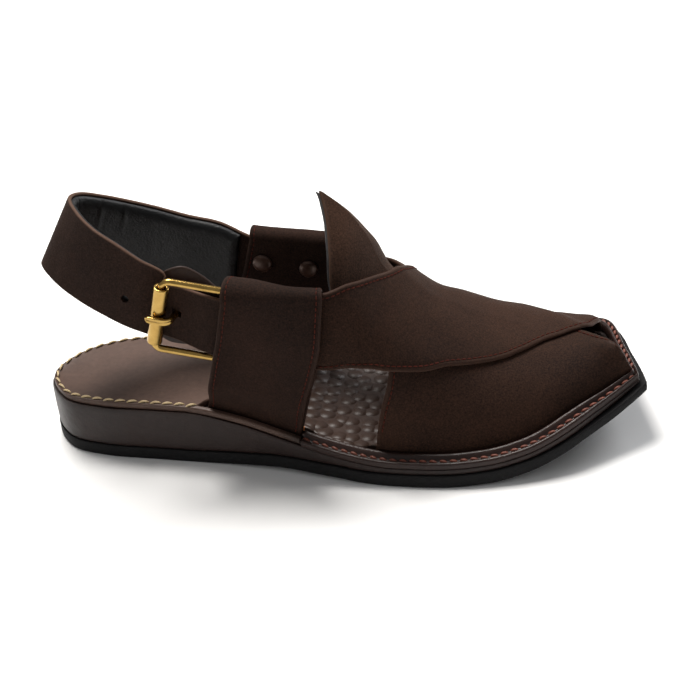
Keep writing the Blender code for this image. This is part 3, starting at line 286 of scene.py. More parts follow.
def quads(rows, columns, wrap_rows=False, wrap_columns=False, first=0):
    """Faces of a grid whose points are numbered row by row."""
    index = np.arange(rows * columns).reshape(rows, columns) + first
    if wrap_rows:
        index = np.vstack([index, index[:1]])
    if wrap_columns:
        index = np.hstack([index, index[:, :1]])
    return np.stack([index[:-1, :-1], index[1:, :-1], index[1:, 1:], index[:-1, 1:]],
                    -1).reshape(-1, 4).tolist()


def sole_stations(count):
    """Stations from heel to tip, half a cosine wave apart, so they gather at both ends."""
    return 0.5 - 0.5 * np.cos(np.linspace(HEEL_ANGLE, np.pi - TIP_ANGLE, count))


def placed(side, stations, inset, height):
    """Points at an inset from the sole's edge and at a height, x = 0 at the heel's flat spot."""
    plan = edge(side, stations, inset)
    return np.c_[plan[:, 0] - HEEL_SPOT, plan[:, 1], height]


def slab(name, levels, stations, finish, lanes=2, dish=0.0):
    """A slab of the sole: the edge loop at each level, joined upwards, with a face of lanes
    from side to side below and above. The upper face sinks by dish times 1 - lane^2."""
    rings = []
    for inset, height in levels:
        for side, order in ((LATERAL, 1), (MEDIAL, -1)):
            ring = placed(side, stations, inset(stations), height(stations))
            rings.append(ring[::order])
    count = len(stations)
    size = 2 * count
    points = np.vstack(rings)
    faces = quads(len(levels), size, wrap_columns=True)
    start = (len(levels) - 1) * size
    near, far = points[start:start + count], points[start + count:][::-1]
    share = np.linspace(0, 1, lanes)[1:-1, None, None]
    inner = near * (1 - share) + far * share
    inner[..., 2] -= dish * (1 - (2 * share[..., 0] - 1)**2)
    first = len(points)
    points = np.vstack([points, inner.reshape(-1, 3)])
    lane_index = [np.arange(start, start + count)]
    lane_index += [first + k * count + np.arange(count) for k in range(lanes - 2)]
    lane_index += [np.arange(start + size - 1, start + count - 1, -1)]
    lane_index = np.array(lane_index)
    faces += np.stack([lane_index[:-1, :-1], lane_index[:-1, 1:], lane_index[1:, 1:],
                       lane_index[1:, :-1]], -1).reshape(-1, 4).tolist()
    k = np.arange(count - 1)
    faces += np.stack([k, size - 1 - k, size - 2 - k, k + 1], -1).tolist()
    return piece(name, points, faces, finish)


class Shade:
    """A shader value. Python's operators on it add Math nodes."""

    def __init__(self, tree, link):
        self.tree, self.link = tree, link

    def math(self, operation, first, second=0.0):
        node = self.tree.nodes.new("ShaderNodeMath")
        node.operation = operation
        for socket, value in zip(node.inputs, (first, second)):
            if isinstance(value, Shade):
                self.tree.links.new(value.link, socket)
            else:
                socket.default_value = value
        return Shade(self.tree, node.outputs[0])

    def __add__(self, other):
        return self.math("ADD", self, other)

    def __radd__(self, other):
        return self.math("ADD", other, self)

    def __sub__(self, other):
        return self.math("SUBTRACT", self, other)

    def __rsub__(self, other):
        return self.math("SUBTRACT", other, self)

    def __mul__(self, other):
        return self.math("MULTIPLY", self, other)

    def __rmul__(self, other):
        return self.math("MULTIPLY", other, self)

    def __truediv__(self, other):
        return self.math("DIVIDE", self, other)

    def clamped(self):
        return self.math("MAXIMUM", self.math("MINIMUM", self, 1.0), 0.0)


class Finish:
    """A material with one Principled shader."""

    def __init__(self, name, roughness, metallic=0.0, **constants):
        self.material = bpy.data.materials.new(name)
        self.material.use_nodes = True
        self.tree = self.material.node_tree
        self.shader = self.tree.nodes["Principled BSDF"]
        self.shader.inputs["Roughness"].default_value = roughness
        self.shader.inputs["Metallic"].default_value = metallic
        for key, value in constants.items():
            self.shader.inputs[key.replace("_", " ")].default_value = value

    def node(self, kind, settings, sockets, output=0):
        """Any node, from its type, its settings and the values or links of its sockets."""
        made = self.tree.nodes.new("ShaderNode" + kind)
        for key, value in settings.items():
            setattr(made, key, value)
        for key, value in sockets.items():
            if isinstance(value, Shade):
                self.tree.links.new(value.link, made.inputs[key])
            else:
                made.inputs[key].default_value = value
        return Shade(self.tree, made.outputs[output])

    def coordinates(self):
        return self.node("TexCoord", {}, {}, "Object")

    def noise(self, scale, detail=3.0, roughness=0.55):
        return self.node("TexNoise", {}, {"Vector": self.coordinates(), "Scale": scale,
                                          "Detail": detail, "Roughness": roughness})

    def mix(self, factor, first, second):
        sockets = {0: factor}
        for key, colour in ((6, first), (7, second)):
            sockets[key] = colour if isinstance(colour, Shade) else (*colour, 1.0)
        return self.node("Mix", {"data_type": "RGBA"}, sockets, 2)

    def feed(self, socket, value):
        self.tree.links.new(value.link, self.shader.inputs[socket])

    def tones(self, pattern, dark, light):
        """Base colour: dark to light by a pattern."""
        self.feed("Base Color", self.mix(pattern, dark, light))

    def relief(self, height, depth):
        self.feed("Normal", self.node("Bump", {}, {"Height": height, "Distance": depth}))


def paint(red, green, blue):
    """Linear colour from the values seen on a screen."""
    share = np.array((red, green, blue)) / 255
    return tuple(np.where(share > 0.04045, ((share + 0.055) / 1.055)**2.4, share / 12.92))


rubber = Finish("outsole_rubber", 0.72, Specular_IOR_Level=0.2)
rubber.tones(rubber.noise(60, 4), paint(8, 8, 9), paint(20, 19, 20))
rubber.relief(rubber.noise(1400, 3), 0.00025)


def outsole_inset(share):
    """Inset of the outsole: minus its flange, plus a share of the rounding."""
    return lambda s: -OUTSOLE_FLANGE * ease(INSETS, 3, s) + share * OUTSOLE_ROUND


outsole = slab("rubber_outsole", [
    (outsole_inset(1.0), floor_height),
    (outsole_inset(0.30), lambda s: floor_height(s) + 0.3 * OUTSOLE_ROUND),
    (outsole_inset(0.0), lambda s: floor_height(s) + OUTSOLE_ROUND),
    (outsole_inset(0.0), lambda s: outsole_top(s) - 0.7 * OUTSOLE_ROUND),
    (outsole_inset(0.25), lambda s: outsole_top(s) - 0.2 * OUTSOLE_ROUND),
    (outsole_inset(0.8), outsole_top),
], sole_stations(260), rubber)
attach(outsole, "root")
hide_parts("outsole")


# The wedge: a light core wrapped in smooth purple-brown leather, drawn tight round the heel
# and thinning to nothing under the ball.
INSOLE_THICK = 3.0 * MM
GAP = 0.3 * MM


def smooth_leather(name, dark, light, roughness, pore_depth):
    """Smooth leather: slow changes of tone, a finer grain, and shallow pores."""
    made = Finish(name, roughness, Specular_IOR_Level=0.24)
    tone = made.noise(22, 3) * 0.7 + made.noise(420, 2) * 0.3
    made.colour = made.mix((tone - 0.30) * 2.2, dark, light)
    made.feed("Base Color", made.colour)
    made.feed("Roughness", roughness + (made.noise(160, 3) - 0.5) * 0.16)
    made.relief(made.noise(1500, 3) * 0.7 + made.noise(190, 2), pore_depth)
    return made


# Painted shade: the wedge's cover is the insole's leather painted much darker, for the shade on its
# sides.
wedge_leather_painted_shade = smooth_leather("wedge_cover_leather_painted_shade", paint(27, 18, 16), paint(44, 30, 26),
                               0.40, 0.00022)


def wedge_bottom(station):
    return outsole_top(station) + GAP / 2


def wedge_top(station):
    return top_height(station) - INSOLE_THICK - GAP / 2


def wedge_level(inset, share):
    """A level of the wedge: inset from the edge, share of the way from bottom to top."""
    return (lambda s: 0 * s + inset * MM,
            lambda s: wedge_bottom(s) * (1 - share) + wedge_top(s) * share)


wedge = slab("leather_wedge", [
    wedge_level(0.5, 0.0), wedge_level(0.12, 0.04), wedge_level(0.0, 0.12),
    wedge_level(-0.15, 0.45), wedge_level(0.0, 0.85), wedge_level(0.1, 0.94),
    wedge_level(0.45, 1.0),
], sole_stations(240), wedge_leather_painted_shade)
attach(wedge, "root")
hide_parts("midsole")


# The insole: the same smooth leather, whip stitched with cream-gold thread round the heel,
# dished a little, and pressed into small nubs under the foot.
INSOLE_ROUND = 0.9 * MM
WHIP_PITCH = 6.1 * MM
WHIP_LAST = 0.272
WHIP_IN = 1.5 * MM
WHIP_SLANT, WHIP_LEAN = 0.22, 0.2
LINE_POINTS, LINE_PITCH = 900, 0.5 * MM
NUBS_FROM = 80 * MM
NUB_SPACING = 7 * MM
NUB_REACH = 0.54
NUB_HEIGHT = 1.3 * MM
# Share by which the insole is darkened from the nubs forward: painted shade from the straps over
# it.
NUB_PAINTED_SHADE = 0.6

insole_leather = smooth_leather("insole_leather", paint(62, 46, 39), paint(92, 71, 61),
                                0.44, 0.00012)
nub_place = insole_leather.coordinates()
nub_x = insole_leather.node("SeparateXYZ", {}, {"Vector": nub_place}, "X")
nub_far = insole_leather.node("TexVoronoi", {"feature": "F1", "voronoi_dimensions": "2D"},
                              {"Vector": nub_place, "Scale": 1 / NUB_SPACING,
                               "Randomness": 0.6}) / NUB_REACH
nub_height = (1.0 - nub_far * nub_far).clamped()
nub_here = ((nub_x - NUBS_FROM) * 120).clamped()
# Painted shade: from the nubs forward the insole's colour is mixed towards a deep brown, for the
# shade that the straps cast on it.
insole_leather.feed("Base Color", insole_leather.mix(nub_here * NUB_PAINTED_SHADE,
                                                     insole_leather.colour, paint(26, 18, 16)))
insole_leather.relief(nub_height * nub_here + insole_leather.noise(1500, 3) * 0.06, NUB_HEIGHT)


def insole_level(share, height):
    """A level of the insole: inset by its table and a share of the rounding."""
    return (lambda s: WELT_WIDTH * ease(INSETS, 2, s) + share * INSOLE_ROUND,
            lambda s: top_height(s) - INSOLE_THICK + height(s))


insole = slab("leather_insole", [
    insole_level(0.3, lambda s: 0 * s), insole_level(0.0, lambda s: 0 * s + 0.6 * MM),
    insole_level(0.0, lambda s: 0 * s + INSOLE_THICK - INSOLE_ROUND),
    insole_level(0.29, lambda s: 0 * s + INSOLE_THICK - 0.29 * INSOLE_ROUND),
    insole_level(1.0, lambda s: 0 * s + INSOLE_THICK),
], sole_stations(240), insole_leather, lanes=24, dish=0.8 * MM)
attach(insole, "root")
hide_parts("insole")

# Outside the side loops the insole goes on as two narrow strips: each loop comes up through a
# slit behind one. Section: share of the width from its outer edge, height above the base.
STRIP_SECTION = [(0.0, 0.1 * MM), (0.0, 2.1 * MM), (0.10, 2.65 * MM), (0.28, 2.9 * MM),
                 (0.88, 2.9 * MM), (1.0, 2.6 * MM), (1.0, 0.1 * MM)]
STRIP_OUTER, STRIP_INNER = 1.48 * MM, 4.15 * MM
STRIP_START, STRIP_STOP = 0.258, 0.448


def rod(name, grid, finish, sharp=40):
    """A solid from closed rings in a row, with a flat cap at each end."""
    size = grid.shape[1]
    end = (len(grid) - 1) * size
    faces = quads(len(grid), size, wrap_columns=True)
    faces += [list(range(size))[::-1], list(range(end, end + size))]
    made = piece(name, grid, faces, finish, sharp=sharp)
    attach(made, "root")
    return made


strip_stations = np.linspace(STRIP_START, STRIP_STOP, 80)
strip_base = top_height(strip_stations) - INSOLE_THICK
for side, side_name in ((LATERAL, "lateral"), (MEDIAL, "medial")):
    strip_rows = [placed(side, strip_stations, STRIP_OUTER + share * (STRIP_INNER - STRIP_OUTER),
                         strip_base + height) for share, height in STRIP_SECTION]
    strip = rod("insole_strip_" + side_name, np.array(strip_rows).transpose(1, 0, 2),
                insole_leather)
    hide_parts("insole")

thread_gold = Finish("cream_gold_thread", 0.5)
thread_gold.tones(thread_gold.noise(900, 2), paint(150, 124, 84), paint(206, 186, 146))


def stitches(name, centres, along, normal, sizes, finish, bow=0.3):
    """A row of stitches: each a grain of six-sided rings along its way, thin at the ends and
    bowed out along the normal by bow times its thickness. sizes are length, width, height."""
    length, width, height = sizes
    along = along / np.linalg.norm(along, axis=-1, keepdims=True)
    beside = np.cross(along, normal)
    beside /= np.linalg.norm(beside, axis=-1, keepdims=True)
    out = np.cross(beside, along)
    u = np.array((-1.0, -0.86, -0.45, 0.0, 0.45, 0.86, 1.0))
    full = np.array((0.12, 0.62, 0.95, 1.0, 0.95, 0.62, 0.12))
    angle = np.arange(6) * np.pi / 3
    spine = (centres[:, None] + along[:, None] * (u * length / 2)[None, :, None]
             + out[:, None] * ((1 - u**2) * bow * height)[None, :, None])
    ring = (beside[:, None, None] * (np.cos(angle) * width / 2)[None, None, :, None]
            + out[:, None, None] * (np.sin(angle) * height / 2)[None, None, :, None])
    points = spine[:, :, None] + ring * full[None, :, None, None]
    one = quads(7, 6, wrap_columns=True)
    caps = [list(range(6))[::-1], list(range(36, 42))]
    faces = [[v + k * 42 for v in face] for k in range(len(centres)) for face in one + caps]
    row = piece(name, points, faces, finish, sharp=80)
    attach(row, "root")
    return row


def sole_line(side, start, stop, inset, height, pitch):
    """Points at an equal pitch along a line at an inset from the sole's edge."""
    station = np.linspace(start, stop, LINE_POINTS)
    return paced(placed(side, station, inset(station), height(station)), pitch)


def paced(line, pitch):
    """A dense line sampled at an equal pitch."""
    run = np.r_[0, np.cumsum(np.linalg.norm(np.diff(line, axis=0), axis=1))]
    at = np.linspace(0, run[-1], max(int(round(run[-1] / pitch)), 1) + 1)
    return np.stack([np.interp(at, run, line[:, k]) for k in range(line.shape[1])], -1)


def insole_rim(station):
    return WELT_WIDTH * ease(INSETS, 2, station) + WHIP_IN


whip = [sole_line(side, 0.002, WHIP_LAST, insole_rim, top_height, LINE_PITCH)[::order]
        for side, order in ((LATERAL, -1), (MEDIAL, 1))]
whip = paced(np.vstack(whip), WHIP_PITCH / 2)
whip_along = np.gradient(whip, axis=0)
whip_along /= np.linalg.norm(whip_along, axis=1, keepdims=True)
whip_out = np.cross(whip_along, (0, 0, 1))
whip_middle = whip[1::2] + np.array((0, 0, 0.05 * MM))
whip_way = whip_along[1::2] - whip_out[1::2] * WHIP_SLANT
whip_up = np.array((0, 0, 1.0)) + whip_out[1::2] * WHIP_LEAN
whip_stitches = stitches("whip_stitches", whip_middle, whip_way, whip_up,
                         (5.3 * MM, 1.15 * MM, 1.1 * MM), thread_gold, bow=0.55)


# The welt: a brown leather rim round the forefoot, with an outer lip, a stitch groove and a
# raised bead against the upper, sewn through with red-brown thread.
WELT_THICK = 3.0 * MM
WELT_START = 0.452
WELT_GROOVE = 0.40
WELT_SEAM_HEIGHT = 0.80
WELT_SEAM_PITCH = 4.8 * MM
WELT_SEAM_SLANT = 0.28
NOSE_FROM = 0.9
STRAP_LEATHER = 2.0 * MM
# Section: share of the width from the sole's edge, height above the base in thicknesses
WELT_SECTION = [
    (0.05, 0.0), (0.03, 0.25), (0.03, 0.72), (0.06, 0.93), (0.12, 1.02), (0.20, 1.04),
    (0.27, 0.98), (0.32, 0.78), (0.38, 0.62), (0.46, 0.62), (0.53, 0.74), (0.60, 1.08),
    (0.68, 1.36), (0.78, 1.50), (0.88, 1.47), (0.95, 1.28), (1.0, 0.95), (1.0, 0.0),
]
welt_leather = smooth_leather("welt_brown_leather", paint(30, 19, 17), paint(54, 37, 32), 0.32,
                              0.00020)


def foot_inset(station):
    return WELT_WIDTH * ease(INSETS, 1, station)


def welt_share(station):
    """How far the welt keeps its width: it narrows over the nose to leave the upper room."""
    room = foot_inset(station) - STRAP_LEATHER - 2 * GAP
    return np.where(station > NOSE_FROM, np.minimum(room / WELT_WIDTH, 1), 1)


welt_half = WELT_START + (0.9985 - WELT_START) * np.sin(np.linspace(0, np.pi / 2, 220))
welt_rows = []
for side, stations in ((LATERAL, welt_half), (MEDIAL, welt_half[::-1])):
    base = top_height(stations) - INSOLE_THICK
    welt_rows.append([placed(side, stations, inset * WELT_WIDTH * welt_share(stations),
                             base + height * WELT_THICK) for inset, height in WELT_SECTION])
welt_grid = np.concatenate(welt_rows, 1).transpose(1, 0, 2)
welt = rod("leather_welt", welt_grid, welt_leather, sharp=60)
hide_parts("welt")

thread_red = Finish("red_brown_thread", 0.6)
thread_red.tones(thread_red.noise(700, 2), paint(66, 28, 18), paint(128, 66, 46))
welt_seam = [sole_line(side, WELT_START + 0.006, 0.992,
                       lambda s: WELT_GROOVE * WELT_WIDTH * welt_share(s),
                       lambda s: top_height(s) - INSOLE_THICK + WELT_SEAM_HEIGHT * WELT_THICK,
                       LINE_PITCH)[::order] for side, order in ((LATERAL, 1), (MEDIAL, -1))]
welt_seam = paced(np.vstack(welt_seam), WELT_SEAM_PITCH)
seam_way = np.gradient(welt_seam, axis=0)
seam_up = np.zeros_like(welt_seam) + (0, 0, 1.0)
seam_slant = np.cross(seam_way, seam_up) * WELT_SEAM_SLANT
welt_stitches = stitches("welt_stitches", welt_seam, seam_way + seam_slant, seam_up,
                         (3.9 * MM, 1.5 * MM, 1.3 * MM), thread_red)


# The last: the foot's room inside the shoe, on which the straps, the tongue and the side loops
# are laid. Stations run from heel to toe, turns from one foot line over the ridge to the other.
INSTEP_RISE = 116 * MM
# Station, ridge height in instep rises, lean in ball widths, share of the toe's section
LAST = [
    (0.270, 1.320, 0.00, 0.00), (0.360, 1.250, 0.00, 0.00), (0.440, 1.140, 0.01, 0.00),
    (0.510, 1.030, 0.02, 0.00), (0.540, 0.965, 0.02, 0.05), (0.570, 0.840, 0.03, 0.15),
    (0.600, 0.694, 0.04, 0.35), (0.625, 0.594, 0.05, 0.55), (0.660, 0.497, 0.05, 0.80),
    (0.700, 0.438, 0.06, 1.00), (0.740, 0.380, 0.06, 1.00), (0.780, 0.328, 0.06, 1.00),
    (0.830, 0.270, 0.05, 1.00), (0.870, 0.224, 0.04, 1.00), (0.900, 0.191, 0.03, 1.00),
    (0.930, 0.166, 0.02, 1.00), (0.960, 0.152, 0.01, 1.00), (0.985, 0.144, 0.00, 1.00),
    (1.000, 0.138, 0.00, 1.00),
]
FAN_START = 0.80
FAN_BACK = 8.7 * MM
FAN_WAY = (-0.93, 0.37)
NOSE_START = 0.975
RIDGE_HALF = 0.03
# Half section from the foot line up to the ridge: instep width and height, toe width and height
SECTION = [
    (1.00, 0.00, 1.00, 0.00), (1.07, 0.24, 0.95, 0.30), (1.08, 0.48, 0.86, 0.55),
    (0.90, 0.70, 0.70, 0.76), (0.62, 0.83, 0.50, 0.89), (0.31, 0.93, 0.27, 0.97),
    (0.00, 1.00, 0.00, 1.00),
]
SECTION_POINTS = 400
SECTION_CURVE = curve(SECTION, SECTION_POINTS)
SECTION_WAY = np.linspace(0, 1, SECTION_POINTS)


def feet(station):
    """Plan of the lateral and medial foot lines of the upper."""
    inset = foot_inset(station)
    return edge(LATERAL, station, inset), edge(MEDIAL, station, inset)


def ridge_plan(station):
    """Plan of the ridge: midway between the feet, then straight to its end over the nose."""
    station = np.asarray(station, float)
    lateral, medial = feet(station)
    start = sum(feet(np.array(FAN_START))) / 2
    end = feet(np.array(1.0))[0] + FAN_BACK * np.array(FAN_WAY)
    share = ((station - FAN_START) / (1 - FAN_START))[..., None]
    return np.where(share > 0, start + (end - start) * share, (lateral + medial) / 2)


def last(station, turn):
    """Inner face of the upper: half sections raised from the two foot lines to the ridge."""
    station, turn = np.broadcast_arrays(np.asarray(station, float), np.asarray(turn, float))
    way = 1 - np.abs(turn)
    toe = ease(LAST, 3, station)
    parts = [np.interp(way, SECTION_WAY, SECTION_CURVE[:, k]) for k in range(4)]
    width = parts[0] * (1 - toe) + parts[2] * toe
    height = parts[1] * (1 - toe) + parts[3] * toe
    lateral, medial = feet(station)
    foot = np.where(turn[..., None] < 0, lateral, medial)
    ridge = ridge_plan(station)
    plan = ridge + (foot - ridge) * width[..., None]
    across = plan[..., 1] + BALL_WIDTH * ease(LAST, 2, station) * height**2
    base = top_height(station) - INSOLE_THICK
    up = base + INSTEP_RISE * ease(LAST, 1, station) * height
    return np.stack([plan[..., 0] - HEEL_SPOT, across, up], -1)


def last_normal(station, turn):
    """Outward direction of one half of the last."""
    step = 0.002
    low, high = np.clip(station - step, 0, 1), np.clip(station + step, 0, 1)
    left, right = np.clip(turn - step, -1, 1), np.clip(turn + step, -1, 1)
    along = last(high, turn) - last(low, turn)
    across = last(station, right) - last(station, left)
    normal = np.cross(along, across)
    return normal / np.linalg.norm(normal, axis=-1, keepdims=True)


def off_last(station, turn, offset):
    """A point of the last moved outwards. Over the ridge and round the nose the two halves
    share one direction."""
    station, turn = np.broadcast_arrays(np.asarray(station, float), np.asarray(turn, float))
    own = np.where(turn < 0, -1, 1) * np.maximum(np.abs(turn), RIDGE_HALF)
    ridge = 1 - np.abs(turn) / RIDGE_HALF
    nose = smooth_step((station - NOSE_START) / (1 - NOSE_START))
    share = np.clip(np.maximum(ridge, nose), 0, 1)[..., None] / 2
    normal = (1 - share) * last_normal(station, own) + share * last_normal(station, -own)
    normal /= np.linalg.norm(normal, axis=-1, keepdims=True)
    return last(station, turn) + normal * np.asarray(offset)[..., None]


def turn_at(side, station, height):
    """Turn of the instep's section at a height above the floor."""
    base = top_height(station) - INSOLE_THICK
    share = (height - base) / (INSTEP_RISE * ease(LAST, 1, station))
    return side * (1 - np.interp(share, SECTION_CURVE[:, 1], SECTION_WAY))


# The crossed straps: two broad bands of dark brown nubuck over the forefoot, each with folded
# edges sewn down by a row of stitches. The lower one runs on round the nose as a toe cap; the
# upper one lies over it from the outer side of the instep to the inner side of the toes.
CROSSING_RISE = 2.128 * MM
CROSSING_BLEND = 7 * MM
STRAP_EDGE_ROUND = 1.3 * MM
STRAP_SPACING = 1.25 * MM
SEAM_IN = 2.5 * MM
SEAM_PITCH = 2.7 * MM
SEAM_PRESSED, SEAM_HALF = 0.28 * MM, 0.45 * MM
FOLD_SWELLING, FOLD_IN, FOLD_HALF = 0.22 * MM, 1.3 * MM, 0.7 * MM
SMALL_STITCH = (2.1 * MM, 0.62 * MM, 0.6 * MM)
# Rings inside a free edge, in millimetres on the last
RING_DEPTHS = (0.22, 0.6, 1.1, 1.7, 2.5, 3.4)
NET_DEPTH, NET_ROOM = 3.9 * MM, 0.5 * MM
RING_ROOM, NOSE_ROOM = 0.10 * MM, 0.4 * MM
ROW_SPACING = 0.866
PROBE_STEP, SLOPE_STEP = 0.2 * MM, 0.5 * MM
SCALE_RANGE = (0.7, 6)
# Edges of the straps: station, turn
UPPER_STRAP_REAR = [
    (0.425, -0.598), (0.470, -0.556), (0.517, -0.496), (0.546, -0.406), (0.576, -0.250),
    (0.601, -0.036), (0.610, 0.13), (0.613, 0.30), (0.609, 0.50), (0.600, 0.70), (0.586, 0.84),
    (0.568, 1.0),
]
UPPER_STRAP_FRONT = [
    (0.410, -0.80), (0.486, -0.754), (0.536, -0.710), (0.586, -0.639), (0.649, -0.559),
    (0.724, -0.467), (0.780, -0.376), (0.821, -0.269), (0.866, -0.107), (0.896, 0.012),
    (0.916, 0.095), (0.937, 0.165), (0.951, 0.27), (0.956, 0.42), (0.957, 0.58), (0.954, 0.79),
    (0.950, 1.0),
]
LOWER_STRAP_REAR = [
    (0.568, -1.0), (0.580, -0.862), (0.592, -0.756), (0.602, -0.663), (0.608, -0.479),
    (0.613, -0.221), (0.614, -0.02), (0.613, 0.12), (0.606, 0.29), (0.592, 0.43), (0.567, 0.54),
    (0.527, 0.61), (0.475, 0.64), (0.425, 0.65),
]
LOWER_STRAP_FRONT = [
    (0.972, 1.0), (0.978, 0.84), (0.985, 0.60), (0.985, 0.41), (0.979, 0.29), (0.968, 0.205),
    (0.954, 0.17), (0.938, 0.175), (0.915, 0.20), (0.880, 0.27), (0.800, 0.42), (0.728, 0.53),
    (0.653, 0.61), (0.588, 0.68), (0.536, 0.74), (0.486, 0.785), (0.410, 0.82),
]
# Creases: strap, start and end as station and turn, half width, depth
CREASES = [
    ("upper", (0.470, -0.60), (0.560, -0.46), 3.0 * MM, 0.35 * MM),
    ("upper", (0.640, -0.20), (0.700, -0.42), 4.5 * MM, 0.30 * MM),
    ("upper", (0.690, 0.62), (0.780, 0.40), 5.0 * MM, 0.35 * MM),
    ("lower", (0.640, -0.90), (0.720, -0.66), 4.5 * MM, 0.35 * MM),
    ("lower", (0.800, -0.86), (0.860, -0.50), 5.0 * MM, 0.30 * MM),
]


def nubuck(name, dark, light, edge_tone):
    """Napped leather: cloudy tone, a fine grain and lighter, burnished folded edges. The
    attribute rim is 1 on a free edge and falls to 0 inside it."""
    made = Finish(name, 0.8, Specular_IOR_Level=0.12, Sheen_Weight=0.06, Sheen_Roughness=0.5)
    made.shader.inputs["Sheen Tint"].default_value = (*paint(140, 110, 92), 1)
    cloud = made.noise(24, 3, 0.5) * 0.30 + made.noise(1300, 3, 0.7) * 0.70
    body = made.mix(((cloud - 0.36) * 3.2).clamped(), dark, light)
    rim = made.node("Attribute", {"attribute_name": "rim"}, {}, "Fac")
    made.feed("Base Color", made.mix(rim, body, edge_tone))
    made.feed("Roughness", 0.84 - rim * 0.3)
    made.relief(made.noise(2600, 3, 0.65) + made.noise(90, 3) * 0.8, 0.00022)
    return made


strap_nubuck = nubuck("dark_brown_nubuck", paint(23, 13, 9), paint(60, 39, 28),
                      paint(56, 37, 28))
thread_brown = Finish("brown_thread", 0.8, Specular_IOR_Level=0.1)
thread_brown.tones(thread_brown.noise(800, 2), paint(38, 13, 9), paint(92, 42, 31))


def flat(station, turn):
    """The last laid out flat: plan of the ridge and of the foot lines, evenly between."""
    lateral, medial = feet(station)
    ridge = ridge_plan(station)
    foot = np.where(turn[..., None] < 0, lateral, medial)
    return ridge + (foot - ridge) * np.abs(turn)[..., None]


def unflat(points):
    """Station and turn of flat points: the section through each is found by halving."""
    stations = np.linspace(0, 1, 400)
    middle = np.vstack([flat(stations, 0 * stations), flat(np.ones(1), np.ones(1))])
    side = np.where(points[..., 1] < np.interp(points[..., 0], middle[:, 0], middle[:, 1]),
                    -1.0, 1.0)
    low, high = np.zeros(points.shape[:-1]), np.ones(points.shape[:-1])
    for _ in range(40):
        station = (low + high) / 2
        ridge = flat(station, 0 * station)
        way = flat(station, side) - ridge
        from_ridge = points - ridge
        ahead = (from_ridge[..., 0] * way[..., 1] - from_ridge[..., 1] * way[..., 0]) * side > 0
        low = np.where(ahead, station, low)
        high = np.where(ahead, high, station)
    share = (from_ridge * way).sum(-1) / (way**2).sum(-1)
    return station, side * np.clip(share, 0, 1)


def flat_edge(table):
    """Dense flat line through a table of stations and turns."""
    points = np.array(table, float)
    return curve(flat(points[:, 0], points[:, 1]), 600)


def sampled(line, shares):
    """A dense line sampled at shares of its length."""
    run = np.r_[0, np.cumsum(np.linalg.norm(np.diff(line, axis=0), axis=1))]
    return np.stack([np.interp(shares * run[-1], run, line[:, k])
                     for k in range(line.shape[1])], -1)


def line_length(line):
    return np.linalg.norm(np.diff(line, axis=0), axis=1).sum()


def closed_outline(pieces):
    """A closed flat outline from dense pieces, each sampled at about its own spacing."""
    points = []
    for line, spacing in pieces:
        count = max(int(round(line_length(line) / spacing)), 1)
        points.append(sampled(line, np.linspace(0, 1, count + 1))[:-1])
    return np.vstack(points)


def foot_line(side, start, stop):
    station = np.linspace(start, stop, 400)
    return flat(station, side + 0 * station)


def to_outline(points, outline, free):
    """Distance of flat points from a closed outline, whether they are inside it, distance from
    its free segments, and the nearest free segment."""
    way = np.roll(outline, -1, 0) - outline
    room, free_room, nearest, inside = [], [], [], []
    for part in np.array_split(points, max(len(points) // 800, 1)):
        from_start = part[:, None, :] - outline
        share = np.clip((from_start * way).sum(-1) / (way**2).sum(-1), 0, 1)
        far = np.linalg.norm(from_start - share[..., None] * way, axis=-1)
        above = outline[:, 1] > part[:, None, 1]
        level_way = np.where(np.abs(way[:, 1]) < 1e-12, 1e-12, way[:, 1])
        meets = outline[:, 0] + (part[:, None, 1] - outline[:, 1]) * way[:, 0] / level_way
        crossed = (above != np.roll(above, -1, -1)) & (part[:, None, 0] < meets)
        room.append(far.min(-1))
        inside.append(crossed.sum(-1) % 2 == 1)
        far = np.where(free, far, 1.0)
        free_room.append(far.min(-1))
        nearest.append(far.argmin(-1))
    return [np.concatenate(k) for k in (room, inside, free_room, nearest)]


def rounded(depth, radius, least=0.02):
    """Share of the thickness at a depth inside an edge: a half circle of that radius."""
    return np.sqrt(np.clip(1 - (1 - np.clip(depth / radius, 0, 1))**2, least, 1))


def two_sided(cells, under):
    """Faces of a sheet on both sides, the lower points numbered from under on, with walls
    along its border."""
    faces = cells.tolist() + (cells[:, ::-1] + under).tolist()
    corners = cells.shape[1]
    sides = np.concatenate([cells[:, [k, (k + 1) % corners]] for k in range(corners)])
    known = {tuple(side) for side in sides.tolist()}
    return faces + [(b, a, a + under, b + under) for a, b in known if (b, a) not in known]


def bell(off, width):
    """1 in the middle, falling to both sides."""
    return np.exp(-(off / width)**2)


def place(flat_points, offset=0.0):
    """Points of the shoe over flat points, at an offset from the last."""
    station, turn = unflat(flat_points)
    return off_last(station, turn, 0 * station + offset)


def edge_frame(outline, free):
    """Inward directions along a flat outline, and how much longer a short step inwards is on
    the last than on the flat."""
    tangent = np.roll(outline, -1, 0) - np.roll(outline, 1, 0)
    tangent /= np.linalg.norm(tangent, axis=1, keepdims=True)
    inward = np.stack([-tangent[:, 1], tangent[:, 0]], -1)
    if to_outline(outline + inward * PROBE_STEP, outline, free)[1].mean() < 0.5:
        inward = -inward
    there = place(outline)
    slope = (place(outline + inward * SLOPE_STEP) - there) / SLOPE_STEP
    along = np.roll(there, -1, 0) - np.roll(there, 1, 0)
    along /= np.linalg.norm(along, axis=1, keepdims=True)
    slope -= (slope * along).sum(-1, keepdims=True) * along
    scale = np.clip(np.linalg.norm(slope, axis=1), *SCALE_RANGE)
    return inward, (scale + np.roll(scale, 1) + np.roll(scale, -1)) / 3


